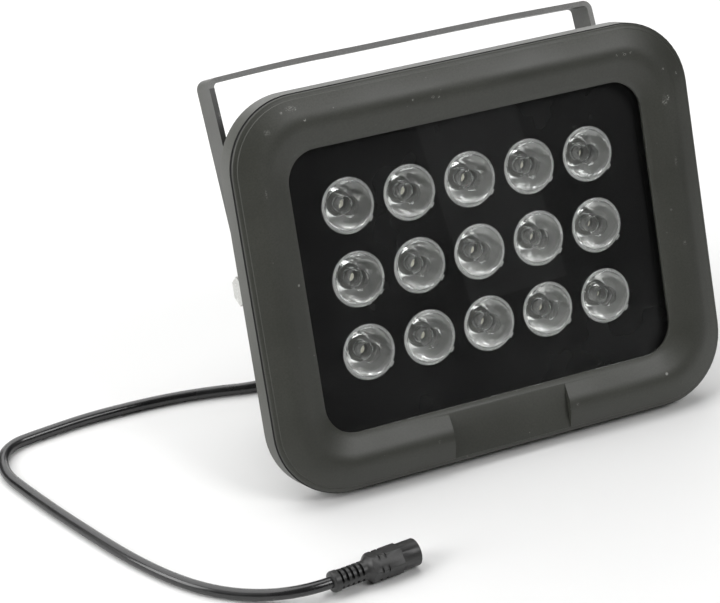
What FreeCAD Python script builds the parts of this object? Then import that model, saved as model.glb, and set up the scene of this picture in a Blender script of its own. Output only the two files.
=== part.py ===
import FreeCAD
import Part
import math
import os
from FreeCAD import Vector

os.makedirs("parts", exist_ok=True)

# Stance: the lamp leans back on the lower edge of its rim and on the tips of its fins
LEAN = 20.85

# Lens grid: five by three, turned a little in the housing as it sits in the lamp
LENS_COLUMNS = 5
LENS_ROWS = 3
LENS_PITCH_X = 25.07
LENS_PITCH_Z = 27.73
GRID_SHIFT_X = -0.3
GRID_SHIFT_Z = 1.1
GRID_TURN = 0.8
LENS_RADIUS = 10.5
LENS_HOLE_PLAY = 0.15
LENS_FLANGE = 1.2
LENS_HEIGHT = 11.3
LENS_CONE_FRONT = 9.4
LENS_CONE_BACK = 5.0
LENS_WELL_RADIUS = 4.3
LENS_WELL_FLOOR_RADIUS = 3.7
LENS_WELL_DEPTH = 3.6
LENS_SOCKET_RADIUS = 3.5
LENS_SOCKET_DEPTH = 5.2
LENS_PROUD = 0.3
KEY_WIDTH = 2.2
KEY_REACH = 0.7
KEY_ANGLE = -38.0

# Window, bezel and rim. Lamp frame: X right, Y back into the body, Z up, origin at the window's centre
WINDOW_SIDE_MARGIN = 12.76
WINDOW_END_MARGIN = 15.32
WINDOW_CORNER = 12.0
BEZEL_WIDTH = 21.35
RIM_CORNER = 26.8
CREST_HEIGHT = 3.4
CREST_PLACE = 10.7
BEZEL_BASE = 1.2
LEDGE_WIDTH = 2.0
LEDGE_ROUND = 1.1

# Bare plate facet cut flat across the lower side of the bezel
PLATE_WIDTH = 49.4
PLATE_LEVEL = 0.8

# Seam, rim flange and body
SEAM_GAP = 0.3
FLANGE_DEPTH = 9.7
FLANGE_ROUND = 1.0
BODY_DEPTH = 60.0
BODY_SIDE_INSET = 18.25
BODY_END_INSET = 14.9
BODY_SIDE_TAPER = 6.5
BODY_FRONT_CORNER = 17.0
BODY_BACK_CORNER = 12.0
BODY_WALL = 4.0
FLOOR_WALL = 3.0
FIN_HEIGHT = 13.0
FIN_PITCH = 8.0
FIN_THICKNESS = 2.5

# Glass, seals and lens sheet
GLASS_OVERLAP = 4.2
GLASS_THICKNESS = 3.0
GLASS_GASKET_INNER = 1.9
GLASS_GASKET_THICKNESS = 1.0
GLASS_POCKET_PLAY = 0.4
BEZEL_GASKET_INNER = 16.0
BEZEL_GASKET_WIDTH = 2.2
BEZEL_GASKET_HEIGHT = 2.1
MASK_OVERLAP = 1.3
MASK_THICKNESS = 1.2
MASK_PLAY = 0.3
MASK_DEPTH = 0.2

# Emitters and their board
EMITTER_BASE = 4.4
EMITTER_BASE_HEIGHT = 0.9
EMITTER_DOME = 1.5
BOARD_THICKNESS = 1.6
BOARD_MARGIN = 4.4
BOARD_CORNER = 5.0
POST_RADIUS = 3.5
POST_INSET = 8.0
BOARD_SCREW_RADIUS = 1.5
BOARD_SCREW_HEAD_RADIUS = 2.8
BOARD_SCREW_HEAD = 1.6
BOARD_SCREW_LENGTH = 8.0
HOLE_PLAY = 0.15

# Driver
DRIVER_WIDTH = 58.0
DRIVER_HEIGHT = 42.0
DRIVER_RISE = 20.0
DRIVER_ROOM = 16.4
DRIVER_POST_INSET = 4.0
DRIVER_SCREW_LENGTH = 6.0
INDUCTOR_RADIUS = 6.5
INDUCTOR_HEIGHT = 8.0
COMPONENT_INSET = 7.0
CAPACITOR_RADIUS = 4.0
CAPACITOR_HEIGHT = 11.0
CAPACITOR_SPACING = 16.8
CHIP_SIZE = 6.0
CHIP_HEIGHT = 1.6
CHIP_EDGE_INSET = 9.0
LEAD_RADIUS = 0.8
LEAD_SPACING = 8.0

# Bezel screws
BEZEL_SCREW_RADIUS = 2.0
BEZEL_SCREW_HEAD_RADIUS = 3.8
BEZEL_SCREW_HEAD = 2.4
BEZEL_BOSS_RADIUS = 4.0
BEZEL_BOSS_HEIGHT = 5.6
BOSS_POCKET_PLAY = 0.3

# Bracket and pivots
BRACKET_SIDE_ROOM = 2.65
BRACKET_THICKNESS = 2.4
BRACKET_STRIP = 14.5
BRACKET_HEADROOM = 6.65
BRACKET_BEND = 3.6
BRACKET_BOW = 1.0
BRACKET_TILT = 11.57
WEB_HOLE_RADIUS = 4.25
WEB_SIDE_HOLE_RADIUS = 3.25
WEB_SIDE_HOLE_PLACE = 30.0
PIVOT_DEPTH = 35.76
PIVOT_RISE = 1.15
PIVOT_BOSS_RADIUS = 9.0
PIVOT_INNER_BOSS_RADIUS = 7.0
PIVOT_INNER_BOSS_LENGTH = 8.0
PIVOT_BOLT_RADIUS = 3.0
PIVOT_PLAY = 0.1
PIVOT_HEAD_FLATS = 10.0
PIVOT_HEAD_HEIGHT = 3.6
PIVOT_WASHER_RADIUS = 6.5
PIVOT_WASHER_THICKNESS = 1.1
RUNNING_GAP = 0.25

# Cable outlet
GLAND_HEIGHT = -34.0
GLAND_PAD_RADIUS = 11.5
GLAND_PAD_HEIGHT = 9.0
GLAND_THREAD_RADIUS = 6.0
GLAND_HEX_FLATS = 15.0
GLAND_HEX_HEIGHT = 4.5
GLAND_NECK_RADIUS = 5.6
GLAND_NECK_LENGTH = 6.0
GLAND_NUT_HEX_HEIGHT = 6.5
GLAND_NUT_LENGTH = 13.0
GLAND_NUT_MOUTH_RADIUS = 4.6
GLAND_SEAL_RADIUS = 4.2
LOCK_NUT_FLATS = 16.0
LOCK_NUT_HEIGHT = 3.5
CABLE_RADIUS = 2.2
CABLE_PLAY = 0.15
TAIL_REACH = 4.0
CORE_RADIUS = 0.8
CORE_SPACING = 2.4
CORE_ROOM = 10.0
CORE_EDGE = 3.0

# Moulded socket on the cable's end, rolled a little as it lies on the floor
COLLAR_LENGTH = 2.6
COLLAR_RADIUS = 3.95
COLLAR_ROUND = 0.7
RELIEF_RADIUS = 3.65
RELIEF_PLAIN = 1.5
SLOT_COUNT = 5
SLOT_PITCH = 2.13
SLOT_WIDTH = 1.0
SLOT_RIB = 1.4
SLOT_CORE_RADIUS = 2.45
SHOULDER_LENGTH = 2.5
GRIP_FLATS = 10.0
GRIP_CORNER_RADIUS = 5.65
GRIP_LENGTH = 11.7
NOTCH_START = 1.95
NOTCH_PITCH = 2.6
NOTCH_WIDTH = 0.8
NOTCH_DEPTH = 0.55
BARREL_RADIUS = 5.1
BARREL_LENGTH = 7.4
BARREL_ROUND = 0.4
SOCKET_RADIUS = 3.2
SOCKET_DEPTH = 9.5
SLEEVE_WALL = 0.35
SLEEVE_PLAY = 0.05
SOCKET_PIN_RADIUS = 1.05
SOCKET_PIN_RECESS = 1.0
SOCKET_ROLL = 11.5

# Where the free cable lies on the floor, in the finished frame: two runs leave the outlet,
# then hand-placed points, then the socket's collar and the way that its axis points
CABLE_FIRST_RUN = 9.0
CABLE_POINTS = [
    (-5.0, 49.5, 5.0),
    (-20.0, 53.0, 2.2),
    (-41.0, 40.0, 2.2),
    (-61.5, 26.0, 2.2),
    (-97.0, 35.3, 2.2),
    (-133.8, 36.6, 2.2),
    (-157.2, 33.7, 2.2),
    (-173.3, 31.0, 2.2),
    (-180.3, 16.3, 2.2),
    (-175.4, -2.3, 2.2),
    (-167.5, -27.0, 2.2),
    (-156.0, -58.5, 2.2),
    (-143.2, -81.4, 2.2),
    (-128.0, -94.8, 2.2),
    (-110.9, -105.2, 5.6),
]
SOCKET_COLLAR = (-99.9, -104.0)
SOCKET_AIM = 6.2

# Worked-out places across the lamp and along its depth
HALF_WIDTH = (LENS_COLUMNS - 1) * LENS_PITCH_X / 2 + LENS_RADIUS + WINDOW_SIDE_MARGIN
HALF_HEIGHT = (LENS_ROWS - 1) * LENS_PITCH_Z / 2 + LENS_RADIUS + WINDOW_END_MARGIN
RIM_HALF_WIDTH = HALF_WIDTH + BEZEL_WIDTH
RIM_HALF_HEIGHT = HALF_HEIGHT + BEZEL_WIDTH
HOUSING_FRONT = BEZEL_BASE + SEAM_GAP
FLANGE_BACK = HOUSING_FRONT + FLANGE_DEPTH
GLASS_BACK = BEZEL_BASE + GLASS_THICKNESS
GLASS_LEDGE = GLASS_BACK + GLASS_GASKET_THICKNESS
MASK_FRONT = GLASS_LEDGE + MASK_DEPTH
MASK_BACK = MASK_FRONT + MASK_THICKNESS
LENS_FRONT = MASK_FRONT - LENS_PROUD
BOARD_FRONT = LENS_FRONT + LENS_HEIGHT
BOARD_BACK = BOARD_FRONT + BOARD_THICKNESS
FIN_ROOT = BODY_DEPTH - FIN_HEIGHT
CAVITY_FLOOR = FIN_ROOT - FLOOR_WALL
DRIVER_FRONT = BOARD_BACK + DRIVER_ROOM
DRIVER_BACK = DRIVER_FRONT + BOARD_THICKNESS
BODY_FRONT_HALF_WIDTH = RIM_HALF_WIDTH - BODY_SIDE_INSET
BODY_FRONT_HALF_HEIGHT = RIM_HALF_HEIGHT - BODY_END_INSET
BODY_BACK_HALF_WIDTH = BODY_FRONT_HALF_WIDTH - BODY_SIDE_TAPER
FIN_CHANNELS = int((2 * BODY_BACK_HALF_WIDTH - FIN_THICKNESS) / FIN_PITCH)
BRACKET_HALF_WIDTH = BODY_FRONT_HALF_WIDTH + BRACKET_SIDE_ROOM + BRACKET_THICKNESS
BRACKET_REACH = RIM_HALF_HEIGHT - PIVOT_RISE + BRACKET_HEADROOM
POST_CORNER_X = HALF_WIDTH - BOARD_MARGIN - POST_INSET
POST_CORNER_Z = HALF_HEIGHT - BOARD_MARGIN - POST_INSET
PAD_FACE = FIN_ROOT + GLAND_PAD_HEIGHT
GLAND_NUT_FRONT = PAD_FACE + GLAND_HEX_HEIGHT
GLAND_MOUTH = GLAND_NUT_FRONT + GLAND_NUT_LENGTH
LEG_INNER = BRACKET_HALF_WIDTH - BRACKET_THICKNESS
PIVOT_FACE = LEG_INNER - RUNNING_GAP
PIVOT_HOLE_RADIUS = PIVOT_BOLT_RADIUS + PIVOT_PLAY

# The floor's distance below the window's centre, and the body height that also reaches it
SIN_LEAN = math.sin(math.radians(LEAN))
COS_LEAN = math.cos(math.radians(LEAN))
FLOOR_DROP = ((RIM_HALF_HEIGHT - FLANGE_ROUND) * COS_LEAN + (FLANGE_BACK - FLANGE_ROUND) * SIN_LEAN
              + FLANGE_ROUND)
BODY_BACK_HALF_HEIGHT = (FLOOR_DROP - BODY_DEPTH * SIN_LEAN) / COS_LEAN

# Height of the socket's axis when an edge of its grip's lowest flat rests on the floor
FLAT_REACH = math.acos(GRIP_FLATS / 2 / GRIP_CORNER_RADIUS)
SOCKET_HEIGHT = GRIP_CORNER_RADIUS * math.cos(FLAT_REACH - math.radians(SOCKET_ROLL))

ACROSS = Vector(1, 0, 0)
BACK = Vector(0, 1, 0)


def rounded_wire(half_x, half_z, corner, y):
    """Closed outline of a rounded rectangle at depth y."""
    reach = corner * (1 - math.sqrt(0.5))
    edges = []
    for quarter in range(4):
        side_x = (1, -1, -1, 1)[quarter]
        side_z = (1, 1, -1, -1)[quarter]
        flat_z = Vector(side_x * half_x, y, side_z * (half_z - corner))
        flat_x = Vector(side_x * (half_x - corner), y, side_z * half_z)
        middle = Vector(side_x * (half_x - reach), y, side_z * (half_z - reach))
        start, end = (flat_z, flat_x) if quarter % 2 == 0 else (flat_x, flat_z)
        edges.append(Part.Arc(start, middle, end).toShape())
        if quarter % 2 == 0:
            edges.append(Part.LineSegment(end, Vector(-end.x, y, end.z)).toShape())
        else:
            edges.append(Part.LineSegment(end, Vector(end.x, y, -end.z)).toShape())
    return Part.Wire(edges)


def bezel_wire(offset, y):
    """Outline that lies a given offset out from the window's edge."""
    corner = WINDOW_CORNER + (RIM_CORNER - WINDOW_CORNER) * offset / BEZEL_WIDTH
    return rounded_wire(HALF_WIDTH + offset, HALF_HEIGHT + offset, corner, y)


def slab(outline, depth):
    """Plate of the outline's shape, depth thick towards the back."""
    return Part.Face(outline).extrude(Vector(0, depth, 0))


def frame_ring(inner, outer, front, back):
    """Flat ring between two offsets from the window's edge."""
    ring = slab(bezel_wire(outer, front), back - front)
    return ring.cut(slab(bezel_wire(inner, front - 1), back - front + 2))


def rod(radius, front, back, x=0.0, z=0.0):
    """Cylinder that runs along the depth."""
    return Part.makeCylinder(radius, back - front, Vector(x, front, z), BACK)


def hex_bar(flats, start, length, axis, turn=0.0):
    """Six-sided bar along an axis, with two flats square to the turn angle."""
    corner_radius = flats / math.sqrt(3)
    points = []
    for index in range(7):
        angle = math.radians(turn + 60 * index)
        points.append(Vector(corner_radius * math.cos(angle), corner_radius * math.sin(angle), 0))
    bar = Part.Face(Part.makePolygon(points)).extrude(Vector(0, 0, length))
    bar.Placement = FreeCAD.Placement(start, FreeCAD.Rotation(Vector(0, 0, 1), axis))
    return bar


def turned(profile, x=0.0, z=0.0):
    """Solid of revolution about a depth axis, from (radius, y) points."""
    points = [Vector(x + radius, y, z) for radius, y in profile]
    points.append(points[0])
    face = Part.Face(Part.makePolygon(points))
    return face.revolve(Vector(x, 0, z), BACK, 360)


def tube_along(points, radius):
    """Round cord along straight runs joined by tangent arcs, its bend radii and its path."""
    edges = []
    radii = []
    last = points[0]
    for index in range(1, len(points) - 1):
        before = points[index] - points[index - 1]
        after = points[index + 1] - points[index]
        shorter = min(before.Length, after.Length)
        half_turn = before.getAngle(after) / 2
        setback = 0.45 * shorter
        bend = setback / math.tan(half_turn)
        before.normalize()
        after.normalize()
        arc_start = points[index] - before * setback
        arc_end = points[index] + after * setback
        inward = after - before
        inward.normalize()
        sagitta = bend / math.cos(half_turn) - bend
        arc_middle = points[index] + inward * sagitta
        edges.append(Part.LineSegment(last, arc_start).toShape())
        edges.append(Part.Arc(arc_start, arc_middle, arc_end).toShape())
        radii.append(bend)
        last = arc_end
    edges.append(Part.LineSegment(last, points[-1]).toShape())
    path = Part.Wire(edges)
    section = Part.Wire(Part.Circle(points[0], points[1] - points[0], radius).toShape())
    cord = path.makePipeShell([section], True, False)
    return cord, radii, path


def lens_places():
    """Lens and emitter centres, row by row from the upper left."""
    cosine = math.cos(math.radians(GRID_TURN))
    sine = math.sin(math.radians(GRID_TURN))
    places = []
    for row in range(LENS_ROWS):
        for column in range(LENS_COLUMNS):
            x = (column - (LENS_COLUMNS - 1) / 2) * LENS_PITCH_X
            z = ((LENS_ROWS - 1) / 2 - row) * LENS_PITCH_Z
            turned_x = GRID_SHIFT_X + x * cosine + z * sine
            turned_z = GRID_SHIFT_Z - x * sine + z * cosine
            places.append((turned_x, turned_z))
    return places


def bezel_screw_places():
    """Six screw centres on the middle line of the bezel."""
    middle = BEZEL_WIDTH / 2
    diagonal = (RIM_CORNER - middle) * math.sqrt(0.5)
    corner_x = RIM_HALF_WIDTH - RIM_CORNER + diagonal
    corner_z = RIM_HALF_HEIGHT - RIM_CORNER + diagonal
    places = [(side_x * corner_x, side_z * corner_z) for side_x in (-1, 1) for side_z in (-1, 1)]
    places.append((0.0, HALF_HEIGHT + middle))
    places.append((0.0, -HALF_HEIGHT - middle))
    return places


def board_post_places():
    """Posts that carry the emitter board: four corners and two between the middle lenses."""
    places = [(side_x * POST_CORNER_X, side_z * POST_CORNER_Z) for side_x in (-1, 1) for side_z in (-1, 1)]
    for side in (-1, 1):
        places.append((GRID_SHIFT_X + side * 1.5 * LENS_PITCH_X, GRID_SHIFT_Z))
    return places


def driver_post_places():
    """Corners of the driver board."""
    reach_x = DRIVER_WIDTH / 2 - DRIVER_POST_INSET
    reach_z = DRIVER_HEIGHT / 2 - DRIVER_POST_INSET
    return [(side_x * reach_x, DRIVER_RISE + side_z * reach_z) for side_x in (-1, 1) for side_z in (-1, 1)]


def lead_places():
    """Where the two emitter leads pass through the board."""
    return [(GRID_SHIFT_X + side * LEAD_SPACING / 2 + LENS_PITCH_X / 2, GRID_SHIFT_Z + LENS_PITCH_Z / 2)
            for side in (-1, 1)]


def front_bezel():
    """Cast frame: raised rounded section on a flat base, with the plate facet and screw bosses."""
    ledge = BEZEL_WIDTH - LEDGE_WIDTH
    slope = CREST_HEIGHT * 0.86
    section = [
        (ledge, 0.0),
        (ledge - 1.4, -0.75),
        (ledge - 3.2, -slope * 0.62),
        (CREST_PLACE + 3.4, -slope),
        (CREST_PLACE + 1.8, -CREST_HEIGHT * 0.97),
        (CREST_PLACE, -CREST_HEIGHT),
        (CREST_PLACE - 1.8, -CREST_HEIGHT * 0.97),
        (CREST_PLACE - 3.4, -slope),
        (CREST_PLACE * 0.34, -slope * 0.5),
        (0.0, 0.0),
    ]
    crown = Part.makeLoft([bezel_wire(offset, y) for offset, y in section], False, False)
    skirt = Part.makeLoft([bezel_wire(ledge, BEZEL_BASE), bezel_wire(ledge, 0.0)], False, True)
    window_wall = Part.makeLoft([bezel_wire(0.0, 0.0), bezel_wire(0.0, BEZEL_BASE)], False, True)
    back = Part.Face([bezel_wire(ledge, BEZEL_BASE), bezel_wire(0.0, BEZEL_BASE)], "Part::FaceMakerBullseye")
    shell = Part.makeShell(crown.Faces + skirt.Faces + window_wall.Faces + [back])
    shell.sewShape()
    crown_solid = Part.makeSolid(Part.Shell(shell.Faces))
    base = slab(bezel_wire(BEZEL_WIDTH, 0.0), BEZEL_BASE)
    front_edges = [edge for edge in base.Edges if edge.BoundBox.YMax < 0.01]
    base = base.makeFillet(LEDGE_ROUND, front_edges)
    base = base.cut(slab(bezel_wire(ledge - 1.0, -1.0), BEZEL_BASE + 2))
    bezel = crown_solid.fuse(base)
    facet = Part.makeBox(PLATE_WIDTH, CREST_HEIGHT * 2, BEZEL_WIDTH * 2)
    facet.translate(Vector(-PLATE_WIDTH / 2, -CREST_HEIGHT * 2 - PLATE_LEVEL, -HALF_HEIGHT - BEZEL_WIDTH * 2))
    bezel = bezel.cut(facet)
    for x, z in bezel_screw_places():
        bezel = bezel.fuse(rod(BEZEL_BOSS_RADIUS, BEZEL_BASE - 0.5, BEZEL_BASE + BEZEL_BOSS_HEIGHT, x, z))
    for x, z in bezel_screw_places():
        pilot = rod(BEZEL_SCREW_RADIUS + HOLE_PLAY, BEZEL_BASE, BEZEL_BASE + BEZEL_BOSS_HEIGHT + 1, x, z)
        bezel = bezel.cut(pilot)
    return bezel.removeSplitter()


def housing():
    """Cast body: rim flange, tapered shell with cooling fins, pivot bosses, posts and seats."""
    flange = slab(bezel_wire(BEZEL_WIDTH, HOUSING_FRONT), FLANGE_DEPTH)
    back_edges = [edge for edge in flange.Edges if edge.BoundBox.YMin > FLANGE_BACK - 0.01]
    flange = flange.makeFillet(FLANGE_ROUND, back_edges)
    front = rounded_wire(BODY_FRONT_HALF_WIDTH, BODY_FRONT_HALF_HEIGHT, BODY_FRONT_CORNER, FLANGE_BACK - 1)
    back = rounded_wire(BODY_BACK_HALF_WIDTH, BODY_BACK_HALF_HEIGHT, BODY_BACK_CORNER, BODY_DEPTH)
    body = Part.makeLoft([front, back], True, True)
    pad = rod(GLAND_PAD_RADIUS, CAVITY_FLOOR, PAD_FACE, 0.0, GLAND_HEIGHT)
    for index in range(FIN_CHANNELS):
        centre = (index - (FIN_CHANNELS - 1) / 2) * FIN_PITCH
        gap = FIN_PITCH - FIN_THICKNESS
        channel = Part.makeBox(gap, FIN_HEIGHT + 1, 4 * BODY_FRONT_HALF_HEIGHT)
        channel.translate(Vector(centre - gap / 2, FIN_ROOT, -2 * BODY_FRONT_HALF_HEIGHT))
        body = body.cut(channel)
    clearing = rod(GLAND_PAD_RADIUS, PAD_FACE, BODY_DEPTH + 1, 0.0, GLAND_HEIGHT)
    solid = flange.fuse(body).fuse(pad).cut(clearing)
    for side in (-1, 1):
        start = Vector(side * (BODY_BACK_HALF_WIDTH - BODY_WALL), PIVOT_DEPTH, PIVOT_RISE)
        length = PIVOT_FACE - BODY_BACK_HALF_WIDTH + BODY_WALL
        boss = Part.makeCylinder(PIVOT_BOSS_RADIUS, length, start, ACROSS * side)
        solid = solid.fuse(boss)
    inset = BODY_WALL
    mouth = rounded_wire(HALF_WIDTH - 1.2, HALF_HEIGHT - 1.2, WINDOW_CORNER, MASK_BACK - 1)
    well = rounded_wire(BODY_BACK_HALF_WIDTH - inset + 1, BODY_BACK_HALF_HEIGHT - inset - 1,
                        BODY_BACK_CORNER - 2, CAVITY_FLOOR)
    solid = solid.cut(Part.makeLoft([mouth, well], True, True))
    mask_pocket = bezel_wire(MASK_OVERLAP + MASK_PLAY, GLASS_LEDGE - 1)
    solid = solid.cut(slab(mask_pocket, MASK_BACK - GLASS_LEDGE + 1))
    glass_pocket = bezel_wire(GLASS_OVERLAP + GLASS_POCKET_PLAY, HOUSING_FRONT - 1)
    solid = solid.cut(slab(glass_pocket, GLASS_LEDGE - HOUSING_FRONT + 1))
    groove_outer = BEZEL_GASKET_INNER + BEZEL_GASKET_WIDTH
    groove_floor = BEZEL_BASE + BEZEL_GASKET_HEIGHT
    solid = solid.cut(frame_ring(BEZEL_GASKET_INNER, groove_outer, HOUSING_FRONT - 0.2, groove_floor))
    for x, z in bezel_screw_places():
        solid = solid.cut(rod(BEZEL_BOSS_RADIUS + BOSS_POCKET_PLAY, HOUSING_FRONT - 1,
                              BEZEL_BASE + BEZEL_BOSS_HEIGHT + BOSS_POCKET_PLAY, x, z))
        solid = solid.cut(rod(BEZEL_SCREW_RADIUS + HOLE_PLAY, HOUSING_FRONT, FLANGE_BACK + 1, x, z))
    for x, z in board_post_places():
        solid = solid.fuse(rod(POST_RADIUS, BOARD_BACK, CAVITY_FLOOR + 0.5, x, z))
        solid = solid.cut(rod(BOARD_SCREW_RADIUS + HOLE_PLAY, BOARD_BACK - 1,
                              BOARD_BACK + BOARD_SCREW_LENGTH, x, z))
    for x, z in driver_post_places():
        solid = solid.fuse(rod(POST_RADIUS, DRIVER_BACK, CAVITY_FLOOR + 0.5, x, z))
        solid = solid.cut(rod(BOARD_SCREW_RADIUS + HOLE_PLAY, DRIVER_BACK - 1,
                              DRIVER_FRONT + DRIVER_SCREW_LENGTH + 0.5, x, z))
    for side in (-1, 1):
        inner_end = BODY_BACK_HALF_WIDTH - BODY_WALL - PIVOT_INNER_BOSS_LENGTH
        start = Vector(side * inner_end, PIVOT_DEPTH, PIVOT_RISE)
        inner_boss = Part.makeCylinder(PIVOT_INNER_BOSS_RADIUS, PIVOT_INNER_BOSS_LENGTH + 3, start,
                                       ACROSS * side)
        solid = solid.fuse(inner_boss)
        start = Vector(side * (inner_end + 2), PIVOT_DEPTH, PIVOT_RISE)
        bore = Part.makeCylinder(PIVOT_BOLT_RADIUS + HOLE_PLAY, PIVOT_FACE, start, ACROSS * side)
        solid = solid.cut(bore)
    solid = solid.cut(rod(GLAND_THREAD_RADIUS + HOLE_PLAY, CAVITY_FLOOR - 1, PAD_FACE + 1, 0.0, GLAND_HEIGHT))
    return solid.removeSplitter()


def lens_mask():
    """Black sheet behind the glass, with a keyed hole for each lens."""
    sheet = slab(bezel_wire(MASK_OVERLAP, MASK_FRONT), MASK_THICKNESS)
    for x, z in lens_places():
        hole = rod(LENS_RADIUS + LENS_HOLE_PLAY, MASK_FRONT - 1, MASK_BACK + 1, x, z)
        notch = key_tab(x, z, MASK_FRONT - 1, MASK_THICKNESS + 2, LENS_HOLE_PLAY)
        sheet = sheet.cut(hole.fuse(notch))
    return sheet


def key_tab(x, z, front, depth, play):
    """Small tab that stops a lens from turning."""
    tab = Part.makeBox(LENS_RADIUS + KEY_REACH + play, depth, KEY_WIDTH + 2 * play)
    tab.translate(Vector(0, front, -KEY_WIDTH / 2 - play))
    tab.rotate(Vector(0, 0, 0), BACK, -KEY_ANGLE)
    tab.translate(Vector(x, 0, z))
    return tab


def lens(x, z):
    """Collimator: flange with key tab, cone, front well and emitter socket."""
    back = LENS_FRONT + LENS_HEIGHT
    flange_back = LENS_FRONT + LENS_FLANGE
    profile = [
        (0.0, LENS_FRONT + LENS_WELL_DEPTH),
        (LENS_WELL_FLOOR_RADIUS, LENS_FRONT + LENS_WELL_DEPTH),
        (LENS_WELL_RADIUS, LENS_FRONT),
        (LENS_RADIUS, LENS_FRONT),
        (LENS_RADIUS, flange_back),
        (LENS_CONE_FRONT, flange_back),
        (LENS_CONE_BACK, back),
        (LENS_SOCKET_RADIUS, back),
        (LENS_SOCKET_RADIUS - 0.3, back - LENS_SOCKET_DEPTH),
        (0.0, back - LENS_SOCKET_DEPTH),
    ]
    body = turned(profile, x, z)
    tab = key_tab(x, z, LENS_FRONT, LENS_FLANGE, 0.0)
    tab = tab.cut(rod(LENS_RADIUS - 0.5, LENS_FRONT - 1, LENS_FRONT + LENS_FLANGE + 1, x, z))
    return body.fuse(tab)


def emitter(x, z):
    """Square emitter package with a clear dome."""
    base = Part.makeBox(EMITTER_BASE, EMITTER_BASE_HEIGHT, EMITTER_BASE)
    base.translate(Vector(x - EMITTER_BASE / 2, BOARD_FRONT - EMITTER_BASE_HEIGHT, z - EMITTER_BASE / 2))
    top = BOARD_FRONT - EMITTER_BASE_HEIGHT
    dome = Part.makeSphere(EMITTER_DOME, Vector(x, top, z), BACK * -1, 0, 90, 360)
    return base.fuse(dome)


def led_board():
    """Metal-core board with holes for its screws and leads."""
    outline = rounded_wire(HALF_WIDTH - BOARD_MARGIN, HALF_HEIGHT - BOARD_MARGIN, BOARD_CORNER, BOARD_FRONT)
    board = slab(outline, BOARD_THICKNESS)
    for x, z in board_post_places():
        board = board.cut(rod(BOARD_SCREW_RADIUS + HOLE_PLAY, BOARD_FRONT - 1, BOARD_BACK + 1, x, z))
    for x, z in lead_places():
        board = board.cut(rod(LEAD_RADIUS + HOLE_PLAY, BOARD_FRONT - 1, BOARD_BACK + 1, x, z))
    return board


def pan_screw(x, z, seat, length, radius, head_radius, head_height, way):
    """Screw along the depth: its head lies before the seat, its shank runs on past it."""
    head = Part.makeCylinder(head_radius, head_height, Vector(x, seat - way * head_height, z), BACK * way)
    shank = Part.makeCylinder(radius, length, Vector(x, seat, z), BACK * way)
    return head.fuse(shank)


def board_screws(places, seat, length):
    """Group of like screws that hold a board to its posts."""
    screws = [pan_screw(x, z, seat, length, BOARD_SCREW_RADIUS, BOARD_SCREW_HEAD_RADIUS, BOARD_SCREW_HEAD, 1)
              for x, z in places]
    return Part.makeCompound(screws)


def driver_board():
    """Circuit board of the current driver."""
    board = Part.makeBox(DRIVER_WIDTH, BOARD_THICKNESS, DRIVER_HEIGHT)
    board.translate(Vector(-DRIVER_WIDTH / 2, DRIVER_FRONT, DRIVER_RISE - DRIVER_HEIGHT / 2))
    for x, z in driver_post_places():
        board = board.cut(rod(BOARD_SCREW_RADIUS + HOLE_PLAY, DRIVER_FRONT - 1, DRIVER_BACK + 1, x, z))
    return board


def driver_parts():
    """Inductor, capacitors and chip that stand on the driver board."""
    place = DRIVER_WIDTH / 2 - COMPONENT_INSET
    inductor_x = -place / 2
    inductor = rod(INDUCTOR_RADIUS, DRIVER_FRONT - INDUCTOR_HEIGHT, DRIVER_FRONT, inductor_x, DRIVER_RISE)
    top = DRIVER_FRONT - INDUCTOR_HEIGHT
    waist = rod(INDUCTOR_RADIUS + 1, top + 1.5, DRIVER_FRONT - 1.5, inductor_x, DRIVER_RISE)
    core = rod(INDUCTOR_RADIUS - 1.2, DRIVER_FRONT - INDUCTOR_HEIGHT, DRIVER_FRONT, inductor_x, DRIVER_RISE)
    inductor = inductor.cut(waist.cut(core))
    cans = []
    for side in (-1, 1):
        z = DRIVER_RISE + side * CAPACITOR_SPACING / 2
        cans.append(rod(CAPACITOR_RADIUS, DRIVER_FRONT - CAPACITOR_HEIGHT, DRIVER_FRONT, place, z))
    chip = Part.makeBox(CHIP_SIZE, CHIP_HEIGHT, CHIP_SIZE)
    chip_z = DRIVER_RISE - DRIVER_HEIGHT / 2 + CHIP_EDGE_INSET - CHIP_SIZE / 2
    chip.translate(Vector(-CHIP_SIZE / 2, DRIVER_FRONT - CHIP_HEIGHT, chip_z))
    return inductor, Part.makeCompound(cans), chip


def led_leads():
    """Two straight wires from the driver board through the emitter board to solder dots."""
    wires = []
    for x, z in lead_places():
        wire = rod(LEAD_RADIUS, BOARD_FRONT - 0.5, DRIVER_FRONT, x, z)
        wires.append(wire.fuse(rod(LEAD_RADIUS * 2, BOARD_FRONT - LEAD_RADIUS, BOARD_FRONT, x, z)))
    return Part.makeCompound(wires)


def bezel_screws():
    """Screws from behind the rim into the bezel's bosses."""
    length = FLANGE_BACK - BEZEL_BASE - 1.0
    screws = [pan_screw(x, z, FLANGE_BACK, length, BEZEL_SCREW_RADIUS, BEZEL_SCREW_HEAD_RADIUS,
                        BEZEL_SCREW_HEAD, -1) for x, z in bezel_screw_places()]
    return Part.makeCompound(screws)


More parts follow.
